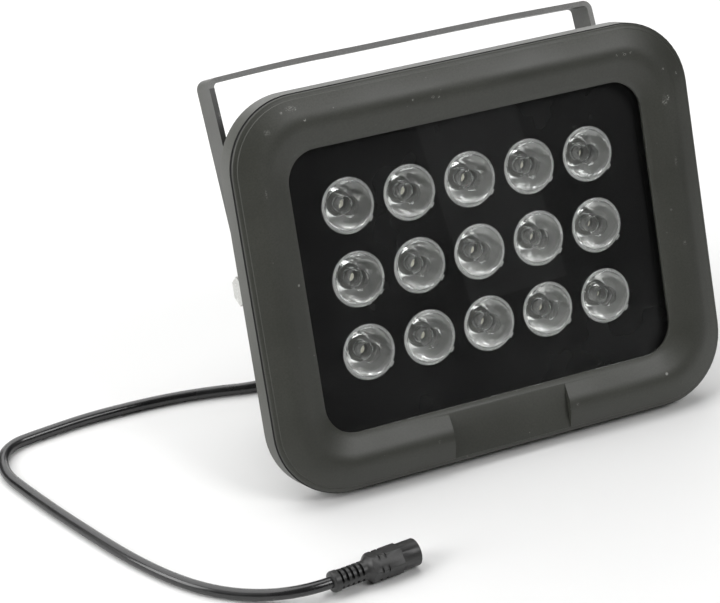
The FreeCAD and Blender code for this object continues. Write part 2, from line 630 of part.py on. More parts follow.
def bracket():
    """Bent strip, drawn upright from the pivot axis, then tilted back and set on the pivots."""
    half = BRACKET_HALF_WIDTH
    foot = BRACKET_STRIP / 2
    top = BRACKET_REACH
    thickness = BRACKET_THICKNESS
    rise = top - BRACKET_BOW
    crown = Part.Arc(Vector(half, 0, rise), Vector(0, 0, top), Vector(-half, 0, rise)).toShape()
    under = Part.Arc(Vector(thickness - half, 0, rise - thickness), Vector(0, 0, top - thickness),
                     Vector(half - thickness, 0, rise - thickness)).toShape()
    sides = [
        Part.LineSegment(Vector(half, 0, -foot), Vector(half, 0, rise)).toShape(),
        crown,
        Part.LineSegment(Vector(-half, 0, rise), Vector(-half, 0, -foot)).toShape(),
        Part.LineSegment(Vector(-half, 0, -foot), Vector(thickness - half, 0, -foot)).toShape(),
        Part.LineSegment(Vector(thickness - half, 0, -foot),
                         Vector(thickness - half, 0, rise - thickness)).toShape(),
        under,
        Part.LineSegment(Vector(half - thickness, 0, rise - thickness),
                         Vector(half - thickness, 0, -foot)).toShape(),
        Part.LineSegment(Vector(half - thickness, 0, -foot), Vector(half, 0, -foot)).toShape(),
    ]
    strip = Part.Face(Part.Wire(sides)).extrude(Vector(0, BRACKET_STRIP, 0))
    strip.translate(Vector(0, -BRACKET_STRIP / 2, 0))
    outer_edges = []
    inner_edges = []
    for edge in strip.Edges:
        box = edge.BoundBox
        along_depth = box.YLength > BRACKET_STRIP - 0.1 and box.XLength < 0.1 and box.ZLength < 0.1
        if along_depth and box.ZMin > rise - 0.1:
            outer_edges.append(edge)
        elif along_depth and box.ZMin > rise - thickness - 0.1:
            inner_edges.append(edge)
    strip = strip.makeFillet(BRACKET_BEND, outer_edges)
    inner_edges = [edge for edge in strip.Edges if abs(edge.BoundBox.ZMin - rise + thickness) < 0.1
                   and edge.BoundBox.YLength > BRACKET_STRIP - 0.1 and edge.BoundBox.XLength < 0.1]
    strip = strip.makeFillet(BRACKET_BEND - thickness, inner_edges)
    ends = Part.makeCylinder(foot, 3 * half, Vector(-1.5 * half, 0, 0), ACROSS)
    keep = Part.makeBox(3 * half, BRACKET_STRIP + 2, top + 2)
    keep.translate(Vector(-1.5 * half, -BRACKET_STRIP / 2 - 1, 0))
    strip = strip.common(keep.fuse(ends))
    strip = strip.cut(Part.makeCylinder(PIVOT_HOLE_RADIUS, 3 * half, Vector(-1.5 * half, 0, 0), ACROSS))
    for x, radius in ((0.0, WEB_HOLE_RADIUS), (-WEB_SIDE_HOLE_PLACE, WEB_SIDE_HOLE_RADIUS),
                      (WEB_SIDE_HOLE_PLACE, WEB_SIDE_HOLE_RADIUS)):
        strip = strip.cut(Part.makeCylinder(radius, 3 * thickness, Vector(x, 0, top - 2 * thickness)))
    strip = strip.removeSplitter()
    strip.rotate(Vector(0, 0, 0), ACROSS, -BRACKET_TILT)
    strip.translate(Vector(0, PIVOT_DEPTH, PIVOT_RISE))
    return strip


def pivot_bolt(side):
    """Hex bolt that holds one leg of the bracket and lets it tilt."""
    head_start = BRACKET_HALF_WIDTH + RUNNING_GAP + PIVOT_WASHER_THICKNESS
    head = hex_bar(PIVOT_HEAD_FLATS, Vector(side * head_start, PIVOT_DEPTH, PIVOT_RISE), PIVOT_HEAD_HEIGHT,
                   ACROSS * side)
    shank_end = BODY_BACK_HALF_WIDTH - BODY_WALL - PIVOT_INNER_BOSS_LENGTH + 3
    start = Vector(side * shank_end, PIVOT_DEPTH, PIVOT_RISE)
    shank = Part.makeCylinder(PIVOT_BOLT_RADIUS, head_start - shank_end, start, ACROSS * side)
    return head.fuse(shank)


def pivot_washers():
    """Flat washer under each bolt head."""
    washers = []
    for side in (-1, 1):
        start = Vector(side * (BRACKET_HALF_WIDTH + RUNNING_GAP), PIVOT_DEPTH, PIVOT_RISE)
        disc = Part.makeCylinder(PIVOT_WASHER_RADIUS, PIVOT_WASHER_THICKNESS, start, ACROSS * side)
        hole = Part.makeCylinder(PIVOT_HOLE_RADIUS, PIVOT_WASHER_THICKNESS, start, ACROSS * side)
        washers.append(disc.cut(hole))
    return Part.makeCompound(washers)


def gland_body():
    """Threaded stub, hexagon and neck of the cable outlet."""
    bore = CABLE_RADIUS + CABLE_PLAY
    stub = rod(GLAND_THREAD_RADIUS, CAVITY_FLOOR - LOCK_NUT_HEIGHT - 2, PAD_FACE, 0.0, GLAND_HEIGHT)
    flats = hex_bar(GLAND_HEX_FLATS, Vector(0, PAD_FACE, GLAND_HEIGHT), GLAND_HEX_HEIGHT, BACK)
    neck = rod(GLAND_NECK_RADIUS, PAD_FACE, GLAND_NUT_FRONT + GLAND_NECK_LENGTH, 0.0, GLAND_HEIGHT)
    solid = stub.fuse(flats).fuse(neck)
    solid = solid.cut(rod(bore, stub.BoundBox.YMin - 1, GLAND_MOUTH, 0.0, GLAND_HEIGHT))
    cup = rod(GLAND_SEAL_RADIUS + CABLE_PLAY, GLAND_NUT_FRONT, GLAND_MOUTH, 0.0, GLAND_HEIGHT)
    return solid.cut(cup)


def gland_seal():
    """Rubber ring squeezed round the cable in the neck."""
    front = GLAND_NUT_FRONT
    back = GLAND_NUT_FRONT + GLAND_NECK_LENGTH + 1.2
    seal = rod(GLAND_SEAL_RADIUS, front, back, 0.0, GLAND_HEIGHT)
    return seal.cut(rod(CABLE_RADIUS + CABLE_PLAY, front - 1, back + 1, 0.0, GLAND_HEIGHT))


def gland_nut():
    """Six-sided nut with a domed end that squeezes the seal."""
    hexagon = hex_bar(GLAND_HEX_FLATS, Vector(0, GLAND_NUT_FRONT, GLAND_HEIGHT), GLAND_NUT_HEX_HEIGHT, BACK)
    shoulder = GLAND_NUT_FRONT + GLAND_NUT_HEX_HEIGHT
    radius = GLAND_HEX_FLATS / 2
    middle = shoulder + (GLAND_MOUTH - shoulder) * 0.62
    dome = turned([(0.0, shoulder), (radius, shoulder), (radius * 0.9, middle),
                   (GLAND_NUT_MOUTH_RADIUS, GLAND_MOUTH),
                   (0.0, GLAND_MOUTH)], 0.0, GLAND_HEIGHT)
    nut = hexagon.fuse(dome)
    neck_room = GLAND_NUT_FRONT + GLAND_NECK_LENGTH + 1.4
    nut = nut.cut(rod(GLAND_NECK_RADIUS + HOLE_PLAY, GLAND_NUT_FRONT - 1, neck_room, 0.0, GLAND_HEIGHT))
    return nut.cut(rod(CABLE_RADIUS + 2 * CABLE_PLAY, GLAND_NUT_FRONT, GLAND_MOUTH + 1, 0.0, GLAND_HEIGHT))


def gland_lock_nut():
    """Thin nut that holds the outlet from inside."""
    front = CAVITY_FLOOR - LOCK_NUT_HEIGHT
    nut = hex_bar(LOCK_NUT_FLATS, Vector(0, front, GLAND_HEIGHT), LOCK_NUT_HEIGHT, BACK)
    return nut.cut(rod(GLAND_THREAD_RADIUS + HOLE_PLAY, front - 1, CAVITY_FLOOR + 1, 0.0, GLAND_HEIGHT))


def cable_tail():
    """Inner end of the cable: jacket through the outlet, then two cores up to the driver board."""
    jacket_end = CAVITY_FLOOR - LOCK_NUT_HEIGHT - 2 - TAIL_REACH
    tail = rod(CABLE_RADIUS, jacket_end, GLAND_MOUTH, 0.0, GLAND_HEIGHT)
    board_edge = DRIVER_RISE - DRIVER_HEIGHT / 2
    for side in (-1, 1):
        x = side * CORE_SPACING / 2
        turn_y = BOARD_BACK + CORE_ROOM
        points = [
            Vector(x, jacket_end + 1, GLAND_HEIGHT),
            Vector(x, turn_y, GLAND_HEIGHT),
            Vector(x, turn_y, board_edge + CORE_EDGE),
            Vector(x, DRIVER_FRONT, board_edge + CORE_EDGE),
        ]
        core, radii, path = tube_along(points, CORE_RADIUS)
        tail = tail.fuse(core)
    return tail


def connector_body():
    """Moulded body along +X: collar, slotted strain relief, flare, six-sided notched grip and barrel.

    The relief's side ribs stay level when the grip rolls onto its edge.
    """
    shoulder_start = COLLAR_LENGTH + (SLOT_COUNT - 1) * SLOT_PITCH + SLOT_WIDTH + RELIEF_PLAIN
    grip_start = shoulder_start + SHOULDER_LENGTH
    barrel_start = grip_start + GRIP_LENGTH
    end = barrel_start + BARREL_LENGTH
    outline = [
        (0.0, 0.0),
        (0.0, COLLAR_RADIUS - COLLAR_ROUND),
        (COLLAR_ROUND * 0.3, COLLAR_RADIUS - COLLAR_ROUND * 0.3),
        (COLLAR_ROUND, COLLAR_RADIUS),
        (COLLAR_LENGTH, COLLAR_RADIUS),
        (COLLAR_LENGTH, RELIEF_RADIUS),
        (shoulder_start, RELIEF_RADIUS),
        (shoulder_start + SHOULDER_LENGTH * 0.3, RELIEF_RADIUS + (GRIP_CORNER_RADIUS - RELIEF_RADIUS) * 0.2),
        (grip_start - SHOULDER_LENGTH * 0.15, GRIP_CORNER_RADIUS - 0.25),
        (grip_start + SHOULDER_LENGTH * 0.1, GRIP_CORNER_RADIUS),
        (barrel_start, GRIP_CORNER_RADIUS),
        (barrel_start, 0.0),
    ]
    points = [Vector(x, radius, 0) for x, radius in outline]
    points.append(points[0])
    body = Part.Face(Part.makePolygon(points)).revolve(Vector(0, 0, 0), ACROSS, 360)
    prism = hex_bar(GRIP_FLATS, Vector(-1, 0, 0), barrel_start + 2, ACROSS, 90.0)
    body = body.common(prism)
    for step in range(2):
        place = Vector(grip_start + NOTCH_START + step * NOTCH_PITCH, 0, 0)
        groove = Part.makeCylinder(GRIP_CORNER_RADIUS + 1, NOTCH_WIDTH, place, ACROSS)
        groove = groove.cut(Part.makeCylinder(GRIP_CORNER_RADIUS - NOTCH_DEPTH, NOTCH_WIDTH, place, ACROSS))
        body = body.cut(groove)
    barrel = Part.makeCylinder(BARREL_RADIUS, BARREL_LENGTH, Vector(barrel_start, 0, 0), ACROSS)
    rim = [edge for edge in barrel.Edges if edge.BoundBox.XMin > end - 0.01]
    body = body.fuse(barrel.makeFillet(BARREL_ROUND, rim))
    for index in range(SLOT_COUNT):
        place = COLLAR_LENGTH + index * SLOT_PITCH
        core = Part.makeCylinder(SLOT_CORE_RADIUS, SLOT_WIDTH, Vector(place, 0, 0), ACROSS)
        for side in (-1, 1):
            slot = Part.makeBox(SLOT_WIDTH, 4 * RELIEF_RADIUS, 2 * RELIEF_RADIUS)
            height = SLOT_RIB / 2 if side > 0 else -SLOT_RIB / 2 - 2 * RELIEF_RADIUS
            slot.translate(Vector(place, -2 * RELIEF_RADIUS, height))
            slot.rotate(Vector(0, 0, 0), ACROSS, SOCKET_ROLL)
            body = body.cut(slot.cut(core))
    socket = Part.makeCylinder(SOCKET_RADIUS, SOCKET_DEPTH, Vector(end - SOCKET_DEPTH, 0, 0), ACROSS)
    return body.cut(socket).removeSplitter(), end


def lie_on_floor(shape):
    """Roll the socket onto an edge of its grip, aim it and set its collar at the cable's end."""
    shape.rotate(Vector(0, 0, 0), ACROSS, -SOCKET_ROLL)
    shape.rotate(Vector(0, 0, 0), Vector(0, 0, 1), SOCKET_AIM)
    shape.translate(Vector(SOCKET_COLLAR[0], SOCKET_COLLAR[1], SOCKET_HEIGHT))
    return shape


# Build every piece in the lamp frame
nodes = {}
nodes["front_bezel"] = front_bezel()
nodes["housing"] = housing()
nodes["cover_glass"] = slab(bezel_wire(GLASS_OVERLAP, BEZEL_BASE), GLASS_THICKNESS)
nodes["glass_gasket"] = frame_ring(GLASS_GASKET_INNER, GLASS_OVERLAP, GLASS_BACK, GLASS_LEDGE)
nodes["bezel_gasket"] = frame_ring(BEZEL_GASKET_INNER + 0.1, BEZEL_GASKET_INNER + BEZEL_GASKET_WIDTH - 0.1,
                                   BEZEL_BASE, BEZEL_BASE + BEZEL_GASKET_HEIGHT)
nodes["lens_mask"] = lens_mask()
for number, (place_x, place_z) in enumerate(lens_places(), start=1):
    nodes["lens_%d" % number] = lens(place_x, place_z)
    nodes["emitter_%d" % number] = emitter(place_x, place_z)
nodes["led_board"] = led_board()
nodes["led_board_screws"] = board_screws(board_post_places(), BOARD_FRONT, BOARD_SCREW_LENGTH)
nodes["driver_board"] = driver_board()
nodes["driver_board_screws"] = board_screws(driver_post_places(), DRIVER_FRONT, DRIVER_SCREW_LENGTH)
nodes["driver_inductor"], nodes["driver_capacitors"], nodes["driver_chip"] = driver_parts()
nodes["led_leads"] = led_leads()
nodes["bezel_screws"] = bezel_screws()
nodes["bracket"] = bracket()
nodes["left_pivot_bolt"] = pivot_bolt(-1)
nodes["right_pivot_bolt"] = pivot_bolt(1)
nodes["pivot_washers"] = pivot_washers()
nodes["gland_body"] = gland_body()
nodes["gland_nut"] = gland_nut()
nodes["gland_seal"] = gland_seal()
nodes["gland_lock_nut"] = gland_lock_nut()
nodes["cable_tail"] = cable_tail()

# Lean the lamp back, stand it on the floor and centre it front to back
for shape in nodes.values():
    shape.rotate(Vector(0, 0, 0), ACROSS, -LEAN)
lamp_box = Part.makeCompound(list(nodes.values())).BoundBox
STAND = Vector(0, -(lamp_box.YMin + lamp_box.YMax) / 2, FLOOR_DROP)
for shape in nodes.values():
    shape.translate(STAND)


def standing(x, y, z):
    """A lamp-frame point in the finished frame."""
    return Vector(x, y * COS_LEAN + z * SIN_LEAN, z * COS_LEAN - y * SIN_LEAN) + STAND


# The socket and the free cable lie on the floor
body, socket_end = connector_body()
nodes["connector_body"] = lie_on_floor(body)
pin = Part.makeCylinder(SOCKET_PIN_RADIUS, SOCKET_DEPTH - SOCKET_PIN_RECESS,
                        Vector(socket_end - SOCKET_DEPTH, 0, 0), ACROSS)
nodes["socket_pin"] = lie_on_floor(pin)
sleeve_start = Vector(socket_end - SOCKET_DEPTH, 0, 0)
sleeve_radius = SOCKET_RADIUS - SLEEVE_PLAY
sleeve = Part.makeCylinder(sleeve_radius, SOCKET_DEPTH - SOCKET_PIN_RECESS, sleeve_start, ACROSS)
sleeve = sleeve.cut(Part.makeCylinder(sleeve_radius - SLEEVE_WALL, SOCKET_DEPTH, sleeve_start, ACROSS))
nodes["socket_sleeve"] = lie_on_floor(sleeve)

mouth_point = standing(0.0, GLAND_MOUTH, GLAND_HEIGHT)
mouth_way = Vector(0, COS_LEAN, -SIN_LEAN)
route = [mouth_point, mouth_point + mouth_way * CABLE_FIRST_RUN]
route += [Vector(*point) for point in CABLE_POINTS]
route.append(Vector(SOCKET_COLLAR[0], SOCKET_COLLAR[1], SOCKET_HEIGHT))
nodes["cable"], bend_radii, cable_path = tube_along(route, CABLE_RADIUS)

for name, shape in nodes.items():
    shape.exportStep("parts/%s.step" % name)

section_area = math.pi * CABLE_RADIUS ** 2
print("nodes", len(nodes), "stand", STAND, "mouth", mouth_point, "socket end", socket_end)
print("cable bend radii", [round(radius, 1) for radius in bend_radii])
print("cable runs", [round((route[i + 1] - route[i]).Length, 1) for i in range(len(route) - 1)])
print("cable length", round(cable_path.Length, 1), "volume ratio",
      round(nodes["cable"].Volume / (section_area * cable_path.Length), 4))
for name, shape in nodes.items():
    if not shape.isValid() or shape.Volume < 0.1:
        print("bad shape", name, shape.isValid(), shape.Volume)
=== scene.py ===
import math

import bmesh
import bpy
from mathutils import Matrix, Vector


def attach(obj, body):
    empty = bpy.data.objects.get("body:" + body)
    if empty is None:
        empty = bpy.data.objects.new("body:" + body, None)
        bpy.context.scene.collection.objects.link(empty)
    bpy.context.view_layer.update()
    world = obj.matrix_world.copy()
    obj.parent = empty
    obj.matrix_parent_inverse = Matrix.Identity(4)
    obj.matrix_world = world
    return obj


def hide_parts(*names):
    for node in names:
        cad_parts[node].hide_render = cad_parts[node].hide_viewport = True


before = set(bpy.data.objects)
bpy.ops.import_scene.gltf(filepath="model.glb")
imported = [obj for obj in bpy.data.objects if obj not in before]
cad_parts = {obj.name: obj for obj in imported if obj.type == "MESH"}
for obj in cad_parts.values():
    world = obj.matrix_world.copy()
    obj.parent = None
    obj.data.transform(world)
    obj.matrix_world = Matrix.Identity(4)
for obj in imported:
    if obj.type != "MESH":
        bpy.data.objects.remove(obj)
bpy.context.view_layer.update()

# Camera. It looks down on the lamp from the front left, from above the table, through a long lens that
# keeps upright and level edges nearly parallel.
CAMERA_PLACE = (-0.431466, -0.820700, 0.595437)
CAMERA_VIEW = (0.36990, 0.77315, -0.51518)
CAMERA_LENS = 139.36
CAMERA_SENSOR = 36.0
camera_data = bpy.data.cameras.new("camera")
camera_data.sensor_fit = "HORIZONTAL"
camera_data.sensor_width = CAMERA_SENSOR
camera_data.lens = CAMERA_LENS
camera_data.clip_end = 50.0
camera = bpy.data.objects.new("camera", camera_data)
camera.location = CAMERA_PLACE
camera.rotation_euler = Vector(CAMERA_VIEW).to_track_quat("-Z", "Y").to_euler()
bpy.context.scene.collection.objects.link(camera)
bpy.context.scene.camera = camera

# Table top and lights. A pale paper that runs far back, under soft boxes overhead, in front, at the left and
# behind, as in a small product studio. A small, far window shows as a faint reflection in the glass.
PAPER_REACH = 6.0
floor_shape = bmesh.new()
bmesh.ops.create_grid(floor_shape, x_segments=1, y_segments=1, size=PAPER_REACH)
floor_mesh = bpy.data.meshes.new("floor")
floor_shape.to_mesh(floor_mesh)
floor_shape.free()
floor = bpy.data.objects.new("floor", floor_mesh)
bpy.context.scene.collection.objects.link(floor)
floor_paper = bpy.data.materials.new("floor_paper")
floor_paper.use_nodes = True
floor_paper.node_tree.nodes["Principled BSDF"].inputs["Base Color"].default_value = (0.85, 0.85, 0.845, 1.0)
floor_paper.node_tree.nodes["Principled BSDF"].inputs["Roughness"].default_value = 0.9
floor_mesh.materials.append(floor_paper)


def soft_box(name, width, height, power, place, target):
    """Rectangular light that faces a target point."""
    lamp = bpy.data.lights.new(name, "AREA")
    lamp.shape = "RECTANGLE"
    lamp.size = width
    lamp.size_y = height
    lamp.energy = power
    holder = bpy.data.objects.new(name, lamp)
    holder.location = place
    holder.rotation_euler = (Vector(target) - Vector(place)).to_track_quat("-Z", "Y").to_euler()
    bpy.context.scene.collection.objects.link(holder)


soft_box("overhead_box", width=2.4, height=2.0, power=38.0, place=(-0.15, 0.75, 1.5), target=(0.0, 0.0, 0.0))
soft_box("front_box", width=0.9, height=0.9, power=17.0, place=(0.85, -1.30, 1.55), target=(0.0, 0.0, 0.05))
soft_box("left_box", width=0.9, height=1.2, power=20.0, place=(-1.6, -0.1, 0.8), target=(0.0, 0.0, 0.07))
soft_box("back_box", width=2.4, height=0.9, power=16.0, place=(0.9, 2.3, 0.5), target=(0.0, 0.0, 0.07))
soft_box("far_window", width=0.145, height=0.29, power=0.009, place=(1.265, -2.703, 0.551),
         target=(0.006, -0.019, 0.094))
room = bpy.data.worlds.new("room")
room.use_nodes = True
room.node_tree.nodes["Background"].inputs["Color"].default_value = (1.0, 1.0, 1.0, 1.0)
room.node_tree.nodes["Background"].inputs["Strength"].default_value = 0.02
bpy.context.scene.world = room
bpy.context.scene.view_settings.view_transform = "Standard"


# Power lead. A round two-core lead with a glossy black jacket. It leaves the outlet behind the lamp, lies on
# the table in a slack S and a wide loop to the left, and runs into the moulded socket in front.
def new_finish(name):
    """Material with one Principled shader: gives it, its tree, the shader and its Object coordinates."""
    finish = bpy.data.materials.new(name)
    finish.use_nodes = True
    tree = finish.node_tree
    place = tree.nodes.new("ShaderNodeTexCoord").outputs["Object"]
    return finish, tree, tree.nodes["Principled BSDF"], place


def new_effect(name, inputs, outputs):
    """Empty node group with named inputs and outputs: gives its tree, its inner inputs and inner outputs."""
    group = bpy.data.node_groups.new(name, "ShaderNodeTree")
    for label, kind, value in inputs:
        socket = group.interface.new_socket(label, in_out="INPUT", socket_type=kind)
        if value is not None:
            socket.default_value = value
    for label, kind in outputs:
        group.interface.new_socket(label, in_out="OUTPUT", socket_type=kind)
    return group, group.nodes.new("NodeGroupInput").outputs, group.nodes.new("NodeGroupOutput").inputs


def add_node(tree, kind, values=(), sources=(), **settings):
    """Adds a node, sets its settings and socket values, and links what feeds its sockets."""
    node = tree.nodes.new(kind)
    for label, value in settings.items():
        setattr(node, label, value)
    for socket, value in values:
        node.inputs[socket].default_value = value
    for socket, source in sources:
        tree.links.new(source, node.inputs[socket])
    return node


def use_effect(tree, group, place, **values):
    """Places a node group in a material, fed with its coordinates and its own values."""
    named = [(label.replace("_", " "), value) for label, value in values.items()]
    return add_node(tree, "ShaderNodeGroup", named, [("Place", place)], node_tree=group)


surface_grain, grain_in, grain_out = new_effect(
    "surface_grain",
    [("Place", "NodeSocketVector", None), ("Grain Scale", "NodeSocketFloat", 1500.0),
     ("Cloud Scale", "NodeSocketFloat", 40.0), ("Dark", "NodeSocketColor", (0.02, 0.02, 0.02, 1.0)),
     ("Light", "NodeSocketColor", (0.03, 0.03, 0.03, 1.0)), ("Smoothest", "NodeSocketFloat", 0.4),
     ("Roughest", "NodeSocketFloat", 0.5)],
    [("Colour", "NodeSocketColor"), ("Roughness", "NodeSocketFloat"), ("Height", "NodeSocketFloat")])
fine = add_node(surface_grain, "ShaderNodeTexNoise", [("Detail", 2.0)],
                [("Vector", grain_in["Place"]), ("Scale", grain_in["Grain Scale"])])
cloud = add_node(surface_grain, "ShaderNodeTexNoise", [("Detail", 3.0), ("Roughness", 0.6)],
                 [("Vector", grain_in["Place"]), ("Scale", grain_in["Cloud Scale"])])
both = add_node(surface_grain, "ShaderNodeMath", [], [(0, fine.outputs["Fac"]), (1, cloud.outputs["Fac"])],
                operation="MULTIPLY")
spread = add_node(surface_grain, "ShaderNodeMapRange", [("From Min", 0.12), ("From Max", 0.40)],
                  [("Value", both.outputs[0])])
tone = add_node(surface_grain, "ShaderNodeMix", [],
                [("Factor", spread.outputs["Result"]), ("A", grain_in["Dark"]), ("B", grain_in["Light"])],
                data_type="RGBA")
sheen = add_node(surface_grain, "ShaderNodeMapRange", [("From Min", 0.3), ("From Max", 0.7)],
                 [("Value", cloud.outputs["Fac"]), ("To Min", grain_in["Smoothest"]),
                  ("To Max", grain_in["Roughest"])])
surface_grain.links.new(tone.outputs["Result"], grain_out["Colour"])
surface_grain.links.new(sheen.outputs["Result"], grain_out["Roughness"])
surface_grain.links.new(fine.outputs["Fac"], grain_out["Height"])


def grained_finish(name, bump, metallic=0.0, coat=0.0, **values):
    """Material whose colour, roughness and bump all come from the surface grain."""
    finish, tree, shader, place = new_finish(name)
    grain = use_effect(tree, surface_grain, place, **values)
    relief = add_node(tree, "ShaderNodeBump", [("Strength", bump), ("Distance", 0.0001)],
                      [("Height", grain.outputs["Height"])])
    tree.links.new(grain.outputs["Colour"], shader.inputs["Base Color"])
    tree.links.new(grain.outputs["Roughness"], shader.inputs["Roughness"])
    tree.links.new(relief.outputs["Normal"], shader.inputs["Normal"])
    shader.inputs["Metallic"].default_value = metallic
    shader.inputs["Coat Weight"].default_value = coat
    return finish


LEAD_DIAMETER = 0.0044
LEAD_EXIT = (0.0, 0.028571, 0.015757)
LEAD_COLLAR = (-0.0999, -0.1040, 0.005424)
LEAD_POINTS = [
    LEAD_EXIT,
    (0.0, 0.036982, 0.012554),
    (-0.0050, 0.0495, 0.0050),
    (-0.0200, 0.0530, 0.0022),
    (-0.0410, 0.0400, 0.0022),
    (-0.0615, 0.0260, 0.0022),
    (-0.0970, 0.0353, 0.0022),
    (-0.1338, 0.0366, 0.0022),
    (-0.1572, 0.0337, 0.0022),
    (-0.1733, 0.0310, 0.0022),
    (-0.1803, 0.0163, 0.0022),
    (-0.1754, -0.0023, 0.0022),
    (-0.1675, -0.0270, 0.0022),
    (-0.1560, -0.0585, 0.0022),
    (-0.1432, -0.0814, 0.0022),
    (-0.1280, -0.0948, 0.0022),
    (-0.1109, -0.1052, 0.0056),
    LEAD_COLLAR,
]
lead_line = bpy.data.curves.new("power_lead", "CURVE")
lead_line.dimensions = "3D"
lead_spline = lead_line.splines.new("NURBS")
lead_spline.points.add(len(LEAD_POINTS) - 1)
for point, place in zip(lead_spline.points, LEAD_POINTS):
    point.co = (*place, 1.0)
lead_spline.order_u = 3
lead_spline.use_endpoint_u = True
lead_spline.resolution_u = 16
lead_line.bevel_depth = LEAD_DIAMETER / 2
lead_line.bevel_resolution = 6
lead_line.use_fill_caps = True
power_lead = bpy.data.objects.new("power_lead", lead_line)
bpy.context.scene.collection.objects.link(power_lead)
lead_jacket = grained_finish("lead_jacket", bump=0.06, coat=0.3, Grain_Scale=420.0, Cloud_Scale=60.0,
                             Dark=(0.009, 0.009, 0.0095, 1.0), Light=(0.017, 0.017, 0.0175, 1.0),
                             Smoothest=0.22, Roughest=0.34)
lead_line.materials.append(lead_jacket)
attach(power_lead, "lamp")
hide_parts("cable")


# Socket on the lead. A moulded body with a slotted strain relief, a six-sided notched grip and a round
# barrel, rolled onto one of its edges. Its sleeve and pin are plated brass.
def show_piece(name, shape, body, finishes, nodes, crease=35.0, edge=0.0):
    """Makes the shape into a finished piece of a body, with soft edges, in place of the named CAD nodes."""
    mesh = bpy.data.meshes.new(name)
    shape.to_mesh(mesh)
    shape.free()
    for finish in finishes:
        mesh.materials.append(finish)
    mesh.shade_smooth()
    mesh.set_sharp_from_angle(angle=math.radians(crease))
    piece = bpy.data.objects.new(name, mesh)
    bpy.context.scene.collection.objects.link(piece)
    if edge:
        rounding = piece.modifiers.new("rounding", "BEVEL")
        rounding.width = edge
        rounding.segments = 2
        rounding.limit_method = "ANGLE"
        rounding.angle_limit = math.radians(crease)
        rounding.harden_normals = True
    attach(piece, body)
    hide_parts(*nodes)
    return piece


def merged_copy(node):
    """Copy of a CAD node's mesh with its doubles merged and its flat faces whole."""
    shape = bmesh.new()
    shape.from_mesh(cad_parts[node].data)
    bmesh.ops.remove_doubles(shape, verts=shape.verts, dist=0.000001)
    bmesh.ops.dissolve_limit(shape, angle_limit=math.radians(0.2), verts=shape.verts, edges=shape.edges)
    return shape


def dress(node, finish):
    """Gives a CAD node its finish."""
    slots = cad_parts[node].data.materials
    slots.clear()
    slots.append(finish)


SOCKET_AIM = 6.2
GROOVES_START = 0.002
GROOVES_END = 0.022
RELIEF_CORE = 0.0029
FACES_ALONG = 0.85
socket_plastic = grained_finish("socket_plastic", bump=0.25, Grain_Scale=1800.0, Cloud_Scale=120.0,
                                Dark=(0.022, 0.022, 0.022, 1.0), Light=(0.034, 0.034, 0.033, 1.0),
                                Smoothest=0.36, Roughest=0.46)
# Darker copy of the socket plastic, painted on the groove walls and floors of the strain relief as painted
# shade.
groove_painted_shade = grained_finish("groove_painted_shade", bump=0.25, Grain_Scale=1800.0, Cloud_Scale=120.0,
                               Dark=(0.003, 0.003, 0.003, 1.0), Light=(0.007, 0.007, 0.007, 1.0),
                               Smoothest=0.5, Roughest=0.65)
contact_plating = grained_finish("contact_plating", bump=0.1, metallic=1.0, Grain_Scale=2400.0,
                                 Cloud_Scale=300.0, Dark=(0.62, 0.60, 0.55, 1.0),
                                 Light=(0.74, 0.72, 0.67, 1.0), Smoothest=0.2, Roughest=0.34)
socket_shape = merged_copy("connector_body")
to_socket = Matrix.Rotation(math.radians(-SOCKET_AIM), 4, "Z") @ Matrix.Translation(-Vector(LEAD_COLLAR))
# Faces of the grooves in the strain relief take the darker finish: painted shade in the recesses.
for face in socket_shape.faces:
    middle = to_socket @ face.calc_center_median()
    grooved = GROOVES_START < middle.x < GROOVES_END
    groove_wall = abs((to_socket.to_3x3() @ face.normal).x) > FACES_ALONG
    groove_floor = math.hypot(middle.y, middle.z) < RELIEF_CORE
    face.material_index = 1 if grooved and (groove_wall or groove_floor) else 0
lead_socket = show_piece("lead_socket", socket_shape, "lamp",
                         [socket_plastic, groove_painted_shade], ["connector_body"], crease=28.0, edge=0.0001)
dress("socket_pin", contact_plating)
dress("socket_sleeve", contact_plating)

# Rear housing. One aluminium casting, powder coated a soft black: the flange round the rim, the tapered body
# with upright cooling fins, and a boss on each side for the bracket's bolt.
casting_paint = grained_finish("casting_paint", bump=0.22, Grain_Scale=1500.0, Cloud_Scale=28.0,
                               Dark=(0.044, 0.0455, 0.0385, 1.0), Light=(0.060, 0.062, 0.052, 1.0),
                               Smoothest=0.42, Roughest=0.52)
show_piece("rear_housing", merged_copy("housing"), "lamp", [casting_paint], ["housing"],
           crease=32.0, edge=0.00025)

# Front bezel. A cast frame with a rounded crest, screwed to the housing from behind. A flat facet is cut into
# its lower side and a narrow ledge runs round its outside. The bezel's faces in the joint behind the ledge
# are painted dark, for the rubber cord showing there and as painted shade in the gap.
# The lamp is drawn in millimetres round the window's middle and then set in its place, leaning back.
LAMP_LEAN = 20.85
WINDOW_CENTRE = (0.0, -0.0280141277, 0.0736911011)
MILLIMETRE = 0.001
LAMP_PLACE = (Matrix.Translation(WINDOW_CENTRE) @ Matrix.Rotation(math.radians(-LAMP_LEAN), 4, "X")
              @ Matrix.Scale(MILLIMETRE, 4))
WINDOW_HALF_WIDTH = 73.4
WINDOW_HALF_HEIGHT = 53.55
WINDOW_CORNER = 12.0
BEZEL_WIDTH = 21.35
RIM_CORNER = 26.8
CORNER_STEPS = 14
CREST_PLACE = 10.7
CREST_HEIGHT = 3.42
CREST_ROUND = 11.0
CREST_TURN = 21.5
CREST_STEPS = 4
FACET_WIDTH = 49.5
FACET_SHIFT = -0.45
FACET_LEVEL = -0.8
FACET_TOP = -55.4
FACET_CUT_DEPTH = 10.0
FACET_CUT_HEIGHT = 40.0
# Band of the bezel's joint faces that is painted dark: the cord's colour and painted shade in the gap.
JOINT_DARK_FRONT = 0.6
JOINT_DARK_BACK = 1.195
JOINT_DARK_CLEAR = 1.0


